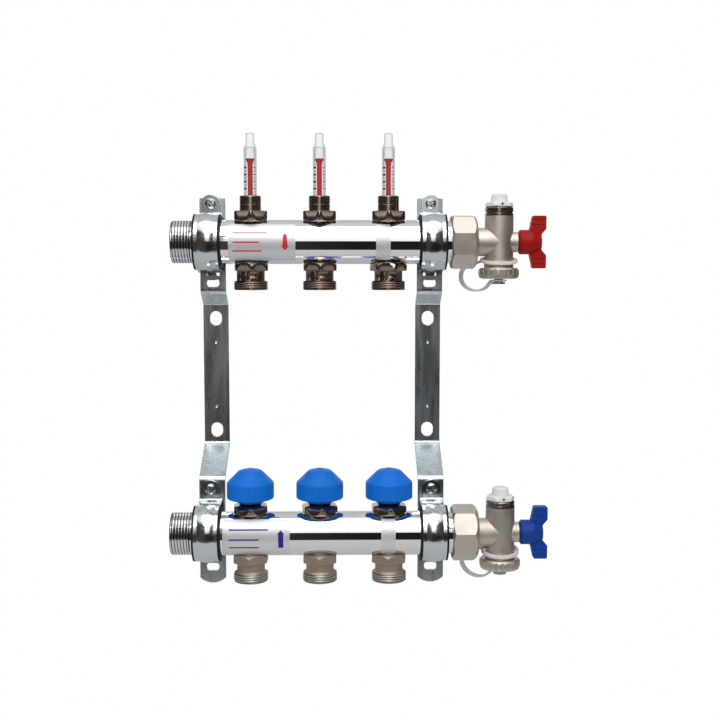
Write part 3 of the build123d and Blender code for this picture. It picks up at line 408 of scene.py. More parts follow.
def metal(name, colour, roughness, wear, stretch, size, distance, edge=0.0003, valley_shade=None, turned=0):
    """Metal with fine machining grain, patches of wear and softened edges.

    On a thread the valleys are darkened with painted shade, and turned metal draws its highlights out
    upright.
    """
    finish = Finish(name)
    patches = finish.grain((1, 1, 1), 70, 5, 0.65)
    lines = finish.grain(stretch, size, 3, 0.5)
    skin = finish.tint(patches, shade(colour, 1 - wear), shade(colour, 1 + wear / 2))
    # Painted shade: the colour darkens from the crests down into the thread's valleys, standing in for the
    # shade in the grooves.
    if valley_shade:
        depth = finish.add("ShaderNodeAttribute", attribute_name=THREAD_HEIGHT)
        mix = finish.add("ShaderNodeMix", data_type="RGBA")
        finish.link(finish.spread(depth.outputs["Fac"], 0, 1, 0.1, 0.75), mix.inputs["Factor"])
        mix.inputs["A"].default_value = (*shade(colour, valley_shade), 1)
        finish.link(skin, mix.inputs["B"])
        skin = mix.outputs["Result"]
    finish.link(skin, finish.shader.inputs["Base Color"])
    if turned:
        upright = finish.add("ShaderNodeCombineXYZ")
        upright.inputs["X"].default_value = 0.05
        upright.inputs["Z"].default_value = 1.0
        finish.link(upright.outputs[0], finish.shader.inputs["Tangent"])
        finish.set(Anisotropic=turned)
    both = finish.add("ShaderNodeMath", operation="MULTIPLY_ADD")
    finish.link(lines, both.inputs[0])
    both.inputs[1].default_value = 0.45
    share = finish.add("ShaderNodeMath", operation="MULTIPLY")
    finish.link(patches, share.inputs[0])
    share.inputs[1].default_value = 0.55
    finish.link(share.outputs[0], both.inputs[2])
    dull = finish.spread(both.outputs[0], roughness * 0.7, roughness * 1.35)
    finish.link(dull, finish.shader.inputs["Roughness"])
    finish.set(Metallic=1.0)
    finish.relief(lines, distance, 0.5, edge)
    return finish.material


def moulded(name, colour, roughness, coat=0.0, size=900, distance=0.00004, edge=0.0003):
    """Moulded plastic with a faint pebbled skin and slight differences of colour."""
    finish = Finish(name)
    cloud = finish.grain((1, 1, 1), 45, 3, 0.5)
    skin = finish.grain((1, 1, 1), size, 2, 0.5)
    tone = finish.tint(cloud, shade(colour, 0.92), shade(colour, 1.06))
    finish.link(tone, finish.shader.inputs["Base Color"])
    dull = finish.spread(cloud, roughness * 0.85, roughness * 1.15)
    finish.link(dull, finish.shader.inputs["Roughness"])
    finish.set(Coat_Weight=coat, Coat_Roughness=0.3, IOR=1.5, Specular_IOR_Level=0.15)
    finish.relief(skin, distance, 0.35, edge)
    return finish.material


def zinc_plate(name, colour, roughness, mottled):
    """Zinc plate: soft streaks along the strip and fine rolling lines."""
    finish = Finish(name)
    cloud = finish.grain((1, 1, 0.12), 190, 3, 0.45)
    fine = finish.grain((1, 1, 0.06), 900, 3, 0.6)
    finish.link(finish.tint(cloud, shade(colour, 1 - mottled), shade(colour, 1 + mottled / 3)),
                finish.shader.inputs["Base Color"])
    finish.link(finish.spread(cloud, roughness * 0.8, roughness * 1.2), finish.shader.inputs["Roughness"])
    finish.set(Metallic=1.0)
    finish.relief(fine, 0.00001, 0.3, 0.0008)
    return finish.material


def clear_plastic(name):
    """Clear moulded plastic with a faint haze, denser and greyer where the wall is seen edge on."""
    finish = Finish(name)
    haze = finish.grain((1, 1, 0.3), 120, 4, 0.5)
    finish.link(finish.spread(haze, 0.05, 0.14), finish.shader.inputs["Roughness"])
    edge = finish.add("ShaderNodeLayerWeight")
    edge.inputs["Blend"].default_value = 0.45
    finish.link(finish.tint(edge.outputs["Facing"], (0.30, 0.29, 0.30), (0.48, 0.47, 0.49)),
                finish.shader.inputs["Base Color"])
    finish.link(finish.spread(edge.outputs["Facing"], 0.075, 0.66, 0.1, 0.95), finish.shader.inputs["Alpha"])
    finish.set(IOR=1.49)
    finish.relief(haze, 0.00002, 0.2)
    return finish.material


def silvered_film(name, colour):
    """A silvery label film: half mirror, half paper, with a soft sheen."""
    finish = Finish(name)
    cloud = finish.grain((1, 1, 1), 300, 4, 0.6)
    tone = finish.tint(cloud, shade(colour, 0.97), shade(colour, 1.02))
    finish.link(tone, finish.shader.inputs["Base Color"])
    finish.link(finish.spread(cloud, 0.40, 0.50), finish.shader.inputs["Roughness"])
    finish.set(Metallic=0.55)
    finish.relief(cloud, 0.00001, 0.2)
    return finish.material


def print_ink(name, colour):
    """Printing ink, a little uneven."""
    finish = Finish(name)
    cloud = finish.grain((1, 1, 1), 400, 4, 0.6)
    tone = finish.tint(cloud, shade(colour, 0.85), shade(colour, 1.1))
    finish.link(tone, finish.shader.inputs["Base Color"])
    finish.link(finish.spread(cloud, 0.4, 0.55), finish.shader.inputs["Roughness"])
    finish.relief(cloud, 0.00001, 0.2)
    return finish.material


MATERIALS = {}


def build_materials():
    """Make every material from the settings, once."""
    m = sizes().metal
    p = sizes().plastic
    t = sizes().label
    along_bar = (1, 0.03, 0.03)
    round_fitting = (0.06, 0.06, 1)
    round_thread = (0.1, 0.1, 1)
    round_bar_end = (1, 0.1, 0.1)
    even = (1, 1, 1)
    MATERIALS.update({
        "polished_bar": metal("polished tube", m.polished, m.polish, 0.04, along_bar, 1800, 0.000004,
                              edge=0.0002),
        "dark_nickel": metal("bright nickel", m.dark, m.dark_polish, 0.14, round_fitting, 1500, 0.00001,
                             edge=0.0006, turned=0.85),
        "satin_nickel": metal("matt nickel", m.satin, m.satin_polish, 0.08, even, 2200, 0.00003),
        # Painted light: a lighter, matt copy of the nickel for the return outlets.
        "painted_light_nickel": metal("painted light nickel", m.painted_light_outlet, 0.6, 0.05, even, 2200, 0.00002),
        "bare_brass": metal("turned brass", m.brass, 0.25, 0.1, round_fitting, 1500, 0.00002),
        # The three thread finishes carry painted shade in their valleys.
        "thread_nickel": metal("worn thread", m.worn, 0.22, 0.15, round_thread, 900, 0.00001,
                               edge=0, valley_shade=0.12, turned=0.85),
        "thread_satin": metal("satin thread", m.satin, 0.42, 0.05, round_thread, 900, 0.00002,
                              edge=0, valley_shade=0.3),
        "thread_steel": metal("bar thread", m.polished, 0.13, 0.04, round_bar_end, 900, 0.00001,
                              edge=0, valley_shade=0.18),
        "zinc_strip": zinc_plate("zinc strip", m.zinc, m.zinc_polish * 1.25, 0.06),
        "zinc_band": zinc_plate("zinc band", m.zinc, m.zinc_polish * 0.75, 0.05),
        "black_rubber": moulded("rubber", (0.012, 0.012, 0.012), 0.62, 0, 1400, 0.00006),
        "clear_plastic": clear_plastic("clear plastic"),
        "red_plastic": moulded("indicator red", p.indicator_red, 0.35, 0.2),
        "blue_plastic": moulded("cap blue", p.cap_blue, p.roughness, 0.1),
        "white_plastic": moulded("vent white", p.vent_white, p.roughness),
        "red_handle": moulded("handle red", p.handle_red, p.roughness, 0.1),
        "blue_handle": moulded("handle blue", p.handle_blue, p.roughness, 0.1),
        "grey_plastic": moulded("strap grey", p.strap_grey, 0.45),
        "seal_fibre": moulded("seal fibre", (0.20, 0.22, 0.20), 0.7, 0, 1600, 0.00008),
        "white_seal": moulded("seat ring", (0.85, 0.85, 0.82), 0.4),
        "film": silvered_film("silvered film", t.film),
        "supply_ink": print_ink("supply ink", t.supply_ink),
        "pale_ink": print_ink("pale supply ink", (0.72, 0.33, 0.42)),
        "return_ink": print_ink("return ink", t.return_ink),
        "scale_ink": print_ink("scale ink", (0.03, 0.03, 0.04)),
    })


# One operator for each piece or group of like pieces

class MANIFOLD_OT_finishes(bpy.types.Operator):
    """Give every carried-over piece the material of its slot, but the return outlets a lighter matt nickel
    with painted light
    """

    bl_idname = "manifold.finishes"
    bl_label = "Finishes"

    def execute(self, context):
        build_materials()
        for entry in frame["record"]["subparts"]:
            node = frame["nodes"][entry["node"]]
            # The return outlets get the lighter nickel, whose colour carries painted light.
            painted_light_outlet = entry["node"].startswith("return_outlet")
            material = MATERIALS["painted_light_nickel" if painted_light_outlet else entry["material_slot"]]
            if node.material_slots:
                for place in node.material_slots:
                    place.material = material
            else:
                node.data.materials.append(material)
        return {"FINISHED"}


class MANIFOLD_OT_fittings(bpy.types.Operator):
    """Set the hexagons of the screwed-in fittings with a corner to the front, as they were tightened"""

    bl_idname = "manifold.fittings"
    bl_label = "Fittings"

    def execute(self, context):
        turn = sizes().metal.fitting_turn
        for group in ("flow_body", "valve_insert", "supply_outlet"):
            for number in (1, 2, 3):
                name = f"{group}_{number}"
                node = frame["nodes"][name]
                clear_selection()
                node.select_set(True)
                bpy.context.view_layer.objects.active = node
                bpy.ops.object.duplicate()
                fitting = clean_up(bpy.context.object)
                fitting.name = f"{name}_turned"
                fitting.data.name = fitting.name
                side = "return" if group == "valve_insert" else "supply"
                centre = Vector((OUTLET_X[number - 1], BAR_AXIS[side].y, 0))
                spin = Matrix.Rotation(turn, 4, "Z")
                fitting.data.transform(Matrix.Translation(centre) @ spin @ Matrix.Translation(-centre))
                fitting.data.update()
                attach(fitting, "root")
                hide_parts(name)
        return {"FINISHED"}


# Lengths of the threads, how far they fade in and out, where they start and how deep the faded ends dive
OUTLET_THREAD_LENGTH = 0.0070
OUTLET_THREAD_FADE = 0.0007
OUTLET_THREAD_START = 0.0001
END_THREAD_LENGTH = 0.0166
END_THREAD_FADE = 0.0010
END_THREAD_START = 0.0002
THREAD_DIVE = 0.00015


def cut_thread(name, radius, pitch, crest, steps, length, fade_length):
    """A helical pipe thread round the upright axis, from height 0 up, that fades out at both ends."""
    core = radius + STAND_OFF
    tooth = (
        (core, 0.0),
        (core + crest * 0.75, pitch * 0.32),
        (core + crest, pitch * 0.42),
        (core + crest, pitch * 0.52),
        (core + crest * 0.75, pitch * 0.62),
        (core, pitch * 0.94),
        (core, pitch),
    )
    piece = draw_line(name, [(r, 0, h) for r, h in tooth])
    bpy.ops.object.mode_set(mode="OBJECT")
    turns = math.ceil(length / pitch) + 2
    apply_modifier(piece, "SCREW", axis="Z", angle=2 * math.pi, screw_offset=pitch, iterations=turns,
                   steps=steps, render_steps=steps, use_merge_vertices=True, merge_threshold=1e-7,
                   use_smooth_shade=True)
    hidden = radius - THREAD_DIVE
    for vertex in piece.data.vertices:
        x, y, z = vertex.co
        z -= pitch
        reach = math.hypot(x, y)
        fade = min(1.0, max(0.0, z / fade_length), max(0.0, (length - z) / fade_length))
        wanted = hidden + (reach - hidden) * fade
        vertex.co = (x * wanted / reach, y * wanted / reach, min(max(z, 0.0), length))
    clean_up(piece, 2e-6, 50)
    # The crests' height over the core: the mask for the painted shade in the thread materials' valleys.
    height = piece.data.attributes.new(THREAD_HEIGHT, "FLOAT", "POINT")
    for vertex, mark in zip(piece.data.vertices, height.data):
        mark.value = (math.hypot(vertex.co.x, vertex.co.y) - core) / crest
    return piece


def place_piece(piece, place, turn=None):
    """Move a piece that was made at the origin to its place, turned if need be."""
    matrix = Matrix.Translation(place)
    if turn:
        matrix = matrix @ turn
    piece.data.transform(matrix)
    piece.data.update()


class MANIFOLD_OT_outlet_threads(bpy.types.Operator):
    """Cut the pipe threads of the six outlets"""

    bl_idname = "manifold.outlet_threads"
    bl_label = "Outlet threads"

    def execute(self, context):
        s = sizes().thread
        for side in ("supply", "return"):
            for number, x in enumerate(OUTLET_X, 1):
                piece = cut_thread(f"{side}_outlet_thread_{number}", OUTLET_THREAD_RADIUS, s.outlet_pitch,
                                   s.crest, s.steps, OUTLET_THREAD_LENGTH, OUTLET_THREAD_FADE)
                place_piece(piece, (x, BAR_AXIS[side].y, OUTLET_END[side] + OUTLET_THREAD_START))
                look = "thread_nickel" if side == "supply" else "thread_satin"
                hand_over(piece, MATERIALS[look], "root")
        return {"FINISHED"}


class MANIFOLD_OT_end_threads(bpy.types.Operator):
    """Cut the pipe threads on the left ends of both bars"""

    bl_idname = "manifold.end_threads"
    bl_label = "Bar end threads"

    def execute(self, context):
        s = sizes().thread
        level = Matrix.Rotation(math.radians(90), 4, "Y")
        for side in ("supply", "return"):
            piece = cut_thread(f"{side}_end_thread", END_THREAD_RADIUS, s.end_pitch, s.crest, s.steps,
                               END_THREAD_LENGTH, END_THREAD_FADE)
            place_piece(piece, (BAR_LEFT + END_THREAD_START, BAR_AXIS[side].y, BAR_AXIS[side].z), level)
            hand_over(piece, MATERIALS["thread_steel"], "root")
        return {"FINISHED"}


# Labels: each film's lower and upper edge from the bar's middle, and its corners
LABEL_EDGES = (-0.0175, 0.0155)
SMALL_LABEL_EDGES = (-0.0165, 0.0155)
LABEL_CORNER = 0.0012
SMALL_LABEL_CORNER = 0.0008
STRIP_HEIGHT = 0.0009
LINE_HALF_HEIGHT = 0.0006
ARROW_HEAD_SHARE = 1.15

# By bar: the label's and the small label's ends, and each ruled line's ends, height and ink
LABELS = {
    "supply": ((0.0162, 0.0690), (0.1325, 0.1438),
               ((0.0198, 0.0463, 0.00705, "pale_ink"),
                (0.0197, 0.0408, -0.00065, "supply_ink"),
                (0.0196, 0.0423, -0.00770, "supply_ink"))),
    "return": ((0.0119, 0.0644), (0.1359, 0.1472),
               ((0.0170, 0.0473, 0.00650, "return_ink"),
                (0.0169, 0.0402, -0.00135, "return_ink"),
                (0.0168, 0.0402, -0.00815, "return_ink"))),
}

# By bar: the arrow's ends across, its tail and tip, its stem's share of the head at tail and neck, and ink
ARROWS = {
    "supply": (0.0579, 0.0639, 0.0059, -0.0071, (0.42, 0.72), "supply_ink"),
    "return": (0.0545, 0.0603, -0.0083, 0.0063, (0.70, 0.70), "return_ink"),
}


def wrap(piece, side, reach):
    """Cut a flat upright sheet into level strips and bend them round the bar's front."""
    edit_all(piece)
    bar = BAR_AXIS[side]
    heights = [v.co.z for v in piece.data.vertices]
    low, high = min(heights), max(heights)
    count = max(1, round((high - low) / STRIP_HEIGHT))
    for i in range(1, count):
        bpy.ops.mesh.select_all(action="SELECT")
        cut = low + (high - low) * i / count
        bpy.ops.mesh.bisect(plane_co=(0, 0, cut), plane_no=(0, 0, 1))
    bpy.ops.object.mode_set(mode="OBJECT")
    for vertex in piece.data.vertices:
        angle = (vertex.co.z - bar.z) / reach
        vertex.co.y = bar.y - reach * math.cos(angle)
        vertex.co.z = bar.z + reach * math.sin(angle)


def flat_shape(name, corners):
    """A flat upright sheet with the given corners, facing the viewer."""
    points = [Vector((x, 0, z)) for x, z in corners]
    piece = draw_line(name, points)
    bpy.ops.mesh.select_all(action="SELECT")
    bpy.ops.mesh.edge_face_add()
    bpy.ops.object.mode_set(mode="OBJECT")
    return piece


def sticker(name, corners, side, lift, thickness, material):
    """A thin sheet wrapped on a bar's front."""
    piece = flat_shape(name, corners)
    wrap(piece, side, BAR_RADIUS + lift)
    apply_modifier(piece, "SOLIDIFY", thickness=thickness, offset=0)
    clean_up(piece, 1e-7, 40)
    hand_over(piece, MATERIALS[material], "root")


def box_corners(x0, x1, z0, z1):
    """The four corners of an upright rectangle."""
    return [(x0, z0), (x1, z0), (x1, z1), (x0, z1)]


def round_corners(x0, x1, z0, z1, r):
    """An upright rectangle with three-point rounded corners."""
    points = []
    corners = ((x1 - r, z0 + r, -90), (x1 - r, z1 - r, 0), (x0 + r, z1 - r, 90), (x0 + r, z0 + r, 180))
    for cx, cz, start in corners:
        for step in (0, 30, 60, 90):
            angle = math.radians(start + step)
            points.append((cx + r * math.cos(angle), cz + r * math.sin(angle)))
    return points


class MANIFOLD_OT_labels(bpy.types.Operator):
    """Stick the silvered films on the bars and print the flow arrows and plain lines on them"""

    bl_idname = "manifold.labels"
    bl_label = "Labels"

    def execute(self, context):
        thick = sizes().label.thickness
        lift = thick / 2 + STAND_OFF
        for side, (film, small, lines) in LABELS.items():
            z = BAR_AXIS[side].z
            low, high = LABEL_EDGES
            shape = round_corners(*film, z + low, z + high, LABEL_CORNER)
            sticker(f"{side}_label", shape, side, lift, thick, "film")
            low, high = SMALL_LABEL_EDGES
            shape = round_corners(*small, z + low, z + high, SMALL_LABEL_CORNER)
            sticker(f"{side}_small_label", shape, side, lift, thick, "film")
            for number, (x0, x1, height, ink) in enumerate(lines, 1):
                level = z + height
                shape = box_corners(x0, x1, level - LINE_HALF_HEIGHT, level + LINE_HALF_HEIGHT)
                sticker(f"{side}_label_line_{number}", shape, side, thick + INK_LIFT, INK_THICKNESS, ink)
        for side in ARROWS:
            self.arrow(side, thick)
        return {"FINISHED"}

    def arrow(self, side, thick):
        """The flow arrow on one bar's label."""
        x0, x1, tail, tip, stems, ink = ARROWS[side]
        z = BAR_AXIS[side].z
        centre = (x0 + x1) / 2
        half = (x1 - x0) / 2
        way = 1 if tip > tail else -1
        neck = tip - way * half * ARROW_HEAD_SHARE
        start, end = (half * share for share in stems)
        corners = [
            (centre - start, z + tail),
            (centre - end, z + neck),
            (centre - half, z + neck),
            (centre, z + tip),
            (centre + half, z + neck),
            (centre + end, z + neck),
            (centre + start, z + tail),
        ]
        sticker(f"{side}_flow_arrow", corners, side, thick + INK_LIFT, INK_THICKNESS, ink)


# Scale marks: where they start beside the front line and how far they reach, in degrees, and their height
MARK_START = 28
LONG_MARK_SPAN = 34
SHORT_MARK_SPAN = 22
LONG_MARK_HEIGHT = {-1: 0.0013, 1: 0.0006}
SHORT_MARK_HEIGHT = 0.0004


class MANIFOLD_OT_scales(bpy.types.Operator):
    """Print the flow scales on the sight glasses"""

    bl_idname = "manifold.scales"
    bl_label = "Flow scales"

    def execute(self, context):
        s = sizes().scale
        inks = {-1: MATERIALS["scale_ink"], 1: MATERIALS["supply_ink"]}
        for number in (1, 2, 3):
            place = middle(f"sight_glass_{number}")
            joined = None
            for step in range(2 * s.marks - 1):
                height = BAR_AXIS["supply"].z + s.lowest + step * s.spacing / 2
                long_mark = step % 2 == 0
                for hand in (-1, 1):
                    start = math.radians(hand * MARK_START - 90)
                    span = math.radians(LONG_MARK_SPAN if long_mark else SHORT_MARK_SPAN)
                    bold = LONG_MARK_HEIGHT[hand] if long_mark else SHORT_MARK_HEIGHT
                    piece = self.mark(f"scale_{number}", place, height, start, -hand * span, bold)
                    piece.data.materials.append(inks[hand])
                    joined = self.join(joined, piece)
            joined.name = f"flow_scale_{number}"
            joined.data.name = joined.name
            clean_up(joined, 1e-7)
            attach(joined, f"flow_setting_{number}")
        return {"FINISHED"}

    def mark(self, name, place, height, start, span, bold):
        """One printed mark round the glass."""
        reach = GLASS_RADIUS + STAND_OFF
        x = place.x + reach * math.cos(start)
        y = place.y + reach * math.sin(start)
        piece = draw_line(name, [(x, y, height - bold / 2), (x, y, height + bold / 2)])
        bpy.ops.mesh.select_all(action="SELECT")
        bpy.ops.mesh.spin(steps=5, angle=span, center=(place.x, place.y, height), axis=(0, 0, 1))
        bpy.ops.object.mode_set(mode="OBJECT")
        apply_modifier(piece, "SOLIDIFY", thickness=INK_THICKNESS, offset=0)
        return piece

    def join(self, first, second):
        """Join two marks into one piece."""
        if first is None:
            return second
        clear_selection()
        first.select_set(True)
        second.select_set(True)
        bpy.context.view_layer.objects.active = first
        bpy.ops.object.join()
        return first


# Straps: ring and eye as (bore, radius, height), the band's section, and heights from the bar's middle
STRAP_RING = (0.0124, 0.0150, 0.0026)
STRAP_RING_HEIGHT = -0.0160
STRAP_RING_TILT = 10
STRAP_EYE = (0.0039, 0.0064, 0.0014)
STRAP_EYE_ABOVE_CAP = 0.0021
STRAP_WIDTH = 0.0054
STRAP_THICKNESS = 0.0015
STRAP_EDGE = 0.0004
STRAP_SWING = 37

# The band's line as (distance from the drain's axis, height); its last point is the eye's own height
STRAP_ROUTE = ((0.0140, -0.0146), (0.0230, -0.0174), (0.0328, -0.0216), (0.0350, -0.0272), (0.0336, -0.0328),
               (0.0282, -0.0374), (0.0205, -0.0390), (0.0125, -0.0370))
STRAP_ROUTE_END = 0.0062


class MANIFOLD_OT_straps(bpy.types.Operator):
    """Model the soft straps that keep the drain caps"""

    bl_idname = "manifold.straps"
    bl_label = "Straps"

    def execute(self, context):
        for side in ("supply", "return"):
            z = BAR_AXIS[side].z
            y = BAR_AXIS[side].y
            strap = self.strap(side, y, z)
            strap.data.materials.clear()
            strap.data.materials.append(MATERIALS["grey_plastic"])
            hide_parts(f"{side}_drain_strap")
            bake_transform(strap)
        return {"FINISHED"}

    def strap(self, side, y, z):
        """Ring, band and eye of one strap, joined into one piece."""
        eye_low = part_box(f"{side}_drain_cap")[0].z + STRAP_EYE_ABOVE_CAP
        ring = self.band_ring(f"{side}_strap_ring", *STRAP_RING)
        tilt = Matrix.Rotation(math.radians(STRAP_RING_TILT), 4, "X")
        place_piece(ring, (DRAIN_X, y, z + STRAP_RING_HEIGHT), tilt)
        eye = self.band_ring(f"{side}_strap_eye", *STRAP_EYE)
        place_piece(eye, (DRAIN_X, y, eye_low))
        band = self.band(f"{side}_strap_band", y, z, eye_low + STRAP_EYE[2] / 2 - z)
        clear_selection()
        for piece in (ring, eye, band):
            piece.select_set(True)
        bpy.context.view_layer.objects.active = band
        bpy.ops.object.join()
        band.name = f"{side}_strap"
        band.data.name = band.name
        return band

    def band_ring(self, name, bore, reach, height):
        """A soft flat ring with rounded edges, standing on the origin."""
        r = STRAP_EDGE
        outline = [(bore + r, 0), (reach - r, 0), (reach - r * 0.3, r * 0.3), (reach, r), (reach, height - r),
                   (reach - r * 0.3, height - r * 0.3), (reach - r, height), (bore + r, height),
                   (bore + r * 0.3, height - r * 0.3), (bore, height - r), (bore, r),
                   (bore + r * 0.3, r * 0.3), (bore + r, 0)]
        return turn_line(name, outline)

    def band(self, name, y, z, eye_height):
        """The flat band, which hangs in a loop from the ring to the eye."""
        swing = math.radians(STRAP_SWING)
        route = (*STRAP_ROUTE, (STRAP_ROUTE_END, eye_height))
        clear_selection()
        bpy.ops.mesh.primitive_grid_add(x_subdivisions=4, y_subdivisions=80, size=1)
        band = name_piece(name)
        for vertex in band.data.vertices:
            along = vertex.co.y + 0.5
            off = vertex.co.x * STRAP_WIDTH
            reach, height = self.on_route(route, along)
            base = Vector((DRAIN_X - reach * math.cos(swing), y + reach * math.sin(swing), z + height))
            vertex.co = base + Vector((math.sin(swing), math.cos(swing), 0)) * off
        apply_modifier(band, "SOLIDIFY", thickness=STRAP_THICKNESS, offset=0)
        apply_modifier(band, "BEVEL", width=STRAP_EDGE, segments=3, limit_method="ANGLE")
        return clean_up(band, 1e-7, 40)

    def on_route(self, route, along):
        """A point on the smooth line through the route's points."""
        spot = along * (len(route) - 1)
        i = min(int(spot), len(route) - 2)
        t = spot - i
        p0 = Vector(route[max(i - 1, 0)])
        p1 = Vector(route[i])
        p2 = Vector(route[i + 1])
        p3 = Vector(route[min(i + 2, len(route) - 1)])
        return 0.5 * (2 * p1 + (p2 - p0) * t + (2 * p0 - 5 * p1 + 4 * p2 - p3) * t * t
                      + (3 * p1 - p0 - 3 * p2 + p3) * t * t * t)


# The stage's middle, the ends of the long cards, and the side cards' reach from the middle and height
STAGE_X = 0.1
LONG_CARD_ENDS = (-1.2, 1.4)
SIDE_CARD_NEAR = 0.225
SIDE_CARD_FAR = 0.95
SIDE_CARD_BACK = 0.70
SIDE_CARD_HEIGHTS = (-0.9, 0.9)


class MANIFOLD_OT_stage(bpy.types.Operator):
    """Set the camera, the light, the pale floor and the dark cards that the polished metal mirrors"""

    bl_idname = "manifold.stage"
    bl_label = "Stage"

    def execute(self, context):
        s = sizes().stage
        self.camera(s)
        self.floor(s)
        self.lamps(s)
        self.cards()
        self.world(s)
        context.scene.view_settings.view_transform = "Standard"
        return {"FINISHED"}

    def camera(self, s):
        """The camera at the photograph's viewing angle."""
        data = bpy.data.cameras.new("camera")
        camera = bpy.data.objects.new("camera", data)
        bpy.context.scene.collection.objects.link(camera)
        camera.location = s.camera_place
        camera.rotation_euler = (math.radians(90) - s.pitch, 0, -s.yaw)
        data.lens = s.lens
        data.sensor_width = 36
        data.clip_start = 0.01
        bpy.context.scene.camera = camera

    def graded(self, name, axis, stops):
        """A card that glows in greys which change along one axis, given as (metres, colour) stops."""
        finish = Finish(name)
        finish.set(Base_Color=(0, 0, 0, 1), Roughness=1.0, Specular_IOR_Level=0.0, Emission_Strength=1.0)
        split = finish.add("ShaderNodeSeparateXYZ")
        finish.link(finish.place, split.inputs[0])
        first = stops[0][0]
        last = stops[-1][0]
        share = finish.spread(split.outputs[axis], 0, 1, first, last)
        ramp = finish.add("ShaderNodeValToRGB")
        elements = ramp.color_ramp.elements
        while len(elements) < len(stops):
            elements.new(0.5)
        for element, (place, colour) in zip(elements, stops):
            element.position = (place - first) / (last - first)
            element.color = (*colour, 1)
        finish.link(share, ramp.inputs["Fac"])
        finish.link(ramp.outputs["Color"], finish.shader.inputs["Emission Color"])
        return finish.material

    def floor(self, s):
        """The pale floor below the manifold."""
        clear_selection()
        low = CAD_BOX[0].z - s.floor_drop
        bpy.ops.mesh.primitive_plane_add(size=8, location=(STAGE_X, 0, low))
        floor = name_piece("floor")
        finish = Finish("pale floor")
        finish.set(Base_Color=(0.60, 0.60, 0.60, 1), Roughness=0.9)
        light = finish.add("ShaderNodeLightPath")
        glow = finish.add("ShaderNodeEmission")
        glow.inputs["Color"].default_value = (1, 1, 1, 1)
        mix = finish.add("ShaderNodeMixShader")
        finish.link(light.outputs["Is Camera Ray"], mix.inputs[0])
        finish.link(finish.shader.outputs[0], mix.inputs[1])
        finish.link(glow.outputs[0], mix.inputs[2])
        finish.link(mix.outputs[0], finish.tree.nodes["Material Output"].inputs["Surface"])
        floor.data.materials.append(finish.material)

    def lamps(self, s):
        """A soft lamp in front above the lens and one overhead."""
        self.lamp("front lamp", (STAGE_X, -1.3, 0.95), (STAGE_X, 0, 0), 1.0, 0.9, s.front_light)
        self.lamp("top lamp", (STAGE_X, -0.25, 1.3), (STAGE_X, -0.05, 0), 1.4, 1.0, s.top_light)

    def lamp(self, name, place, target, width, height, strength):
        """One rectangular lamp that points at its target."""
        data = bpy.data.lights.new(name, "AREA")
        data.shape = "RECTANGLE"
        data.size = width
        data.size_y = height
        data.energy = strength
        lamp = bpy.data.objects.new(name, data)
        bpy.context.scene.collection.objects.link(lamp)
        lamp.location = place
        lamp.rotation_mode = "QUATERNION"
        lamp.rotation_quaternion = (Vector(target) - Vector(place)).to_track_quat("-Z", "Y")

    def cards(self):
        """Cards out of view, as round any photograph of polished metal."""
        left, right = LONG_CARD_ENDS
        front = self.graded("front card", 0, (
            (-0.50, (0.080, 0.060, 0.050)),
            (-0.06, (0.050, 0.038, 0.032)),
            (0.12, (0.012, 0.011, 0.012)),
            (0.60, (0.009, 0.010, 0.014)),
        ))
        self.long_card("front card", (-1.34, 0.177), (-0.515, -0.323), front)
        rim = self.graded("lamp rim", 0, ((left, (0.62, 0.61, 0.63)), (right, (0.62, 0.61, 0.63))))
        self.long_card("lamp rim", (-1.0, 0.478), (-0.99, 0.506), rim)
        above = self.graded("overhead card", 1, (
            (-0.10, (0.95, 0.95, 0.95)),
            (0.02, (0.66, 0.66, 0.67)),
            (0.35, (0.58, 0.58, 0.59)),
            (1.50, (0.44, 0.44, 0.45)),
        ))
        self.long_card("overhead card", (-0.10, 1.25), (0.90, 1.0), above)
        self.long_card("rear card", (0.90, 1.0), (1.50, 0.45), above)
        low, high = SIDE_CARD_HEIGHTS
        side = self.graded("side card", 2, ((low, (0.045, 0.036, 0.031)), (high, (0.070, 0.060, 0.054))))
        for hand, name in ((-1, "left"), (1, "right")):
            near = STAGE_X + hand * SIDE_CARD_NEAR
            far = STAGE_X + hand * SIDE_CARD_FAR
            back = STAGE_X + hand * SIDE_CARD_BACK
            self.upright_card(f"{name} front card", (near, -1.30), (far, -0.45), side)
            self.upright_card(f"{name} side card", (far, -0.45), (far, 0.30), side)
            self.upright_card(f"{name} back card", (far, 0.30), (back, 0.75), side)

    def long_card(self, name, first, last, material):
        """A card along the bars, between two lines given as (y, z)."""
        left, right = LONG_CARD_ENDS
        self.card(name, [(left, *first), (right, *first), (right, *last), (left, *last)], material)

    def upright_card(self, name, first, last, material):
        """An upright card between two places given as (x, y)."""
        low, high = SIDE_CARD_HEIGHTS
        self.card(name, [(*first, low), (*last, low), (*last, high), (*first, high)], material)

    def card(self, name, corners, material):
        """One card, seen only in reflections."""
        card = draw_line(name, [Vector(c) for c in corners])
        bpy.ops.mesh.select_all(action="SELECT")
        bpy.ops.mesh.edge_face_add()
        bpy.ops.object.mode_set(mode="OBJECT")
        card.data.materials.append(material)
        card.visible_camera = False
        card.visible_diffuse = False
        card.visible_shadow = False
        card.visible_transmission = False

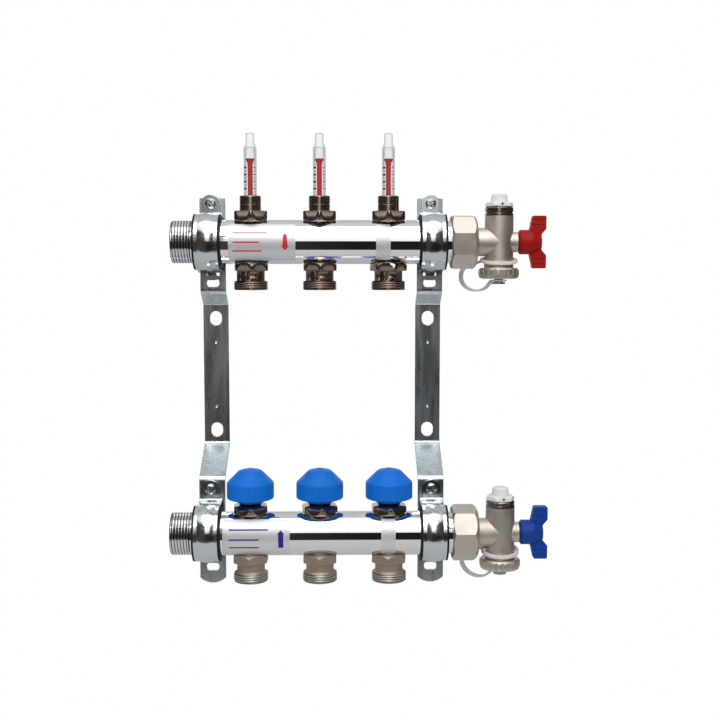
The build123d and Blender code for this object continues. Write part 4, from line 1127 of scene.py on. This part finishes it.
    def world(self, s):
        """A pale surround that the camera and the metal see as white."""
        world = bpy.data.worlds.new("surround")
        bpy.context.scene.world = world
        world.use_nodes = True
        tree = world.node_tree
        back = tree.nodes["Background"]
        light = tree.nodes.new("ShaderNodeLightPath")
        first = tree.nodes.new("ShaderNodeMath")
        first.operation = "MAXIMUM"
        second = tree.nodes.new("ShaderNodeMath")
        second.operation = "MAXIMUM"
        level = tree.nodes.new("ShaderNodeMapRange")
        level.inputs["To Min"].default_value = s.world_light
        level.inputs["To Max"].default_value = 1.0
        back.inputs["Color"].default_value = (1, 1, 1, 1)
        tree.links.new(light.outputs["Is Camera Ray"], first.inputs[0])
        tree.links.new(light.outputs["Is Glossy Ray"], first.inputs[1])
        tree.links.new(first.outputs[0], second.inputs[0])
        tree.links.new(light.outputs["Is Transmission Ray"], second.inputs[1])
        tree.links.new(second.outputs[0], level.inputs["Value"])
        tree.links.new(level.outputs["Result"], back.inputs["Strength"])


class ManifoldSettings(bpy.types.PropertyGroup):
    """All settings of the manifold."""

    metal: PointerProperty(type=MetalSettings)
    plastic: PointerProperty(type=PlasticSettings)
    thread: PointerProperty(type=ThreadSettings)
    label: PointerProperty(type=LabelSettings)
    scale: PointerProperty(type=ScaleSettings)
    stage: PointerProperty(type=StageSettings)


OPERATORS = (
    MANIFOLD_OT_stage,
    MANIFOLD_OT_finishes,
    MANIFOLD_OT_fittings,
    MANIFOLD_OT_outlet_threads,
    MANIFOLD_OT_end_threads,
    MANIFOLD_OT_labels,
    MANIFOLD_OT_scales,
    MANIFOLD_OT_straps,
)


class VIEW3D_PT_manifold(bpy.types.Panel):
    """The manifold's pieces and settings"""

    bl_label = "Heating manifold"
    bl_space_type = "VIEW_3D"
    bl_region_type = "UI"
    bl_category = "Manifold"

    def draw(self, context):
        for operator in OPERATORS:
            self.layout.operator(operator.bl_idname)
        for group in ("metal", "plastic", "thread", "label", "scale", "stage"):
            settings = getattr(context.scene.manifold, group)
            box = self.layout.box()
            box.label(text=group.title())
            for key in settings.bl_rna.properties.keys():
                if key not in ("rna_type", "name"):
                    box.prop(settings, key)


CLASSES = (
    MetalSettings,
    PlasticSettings,
    ThreadSettings,
    LabelSettings,
    ScaleSettings,
    StageSettings,
    ManifoldSettings,
    *OPERATORS,
    VIEW3D_PT_manifold,
)


def register():
    """Register the classes and hang the settings on the scene."""
    for cls in CLASSES:
        bpy.utils.register_class(cls)
    bpy.types.Scene.manifold = PointerProperty(type=ManifoldSettings)


def unregister():
    """Take the settings and the classes away again."""
    del bpy.types.Scene.manifold
    for cls in reversed(CLASSES):
        bpy.utils.unregister_class(cls)


def main():
    """Build every piece in order."""
    register()
    bpy.ops.manifold.stage()
    bpy.ops.manifold.finishes()
    bpy.ops.manifold.fittings()
    bpy.ops.manifold.outlet_threads()
    bpy.ops.manifold.end_threads()
    bpy.ops.manifold.labels()
    bpy.ops.manifold.scales()
    bpy.ops.manifold.straps()


if __name__ == "__main__":
    main()
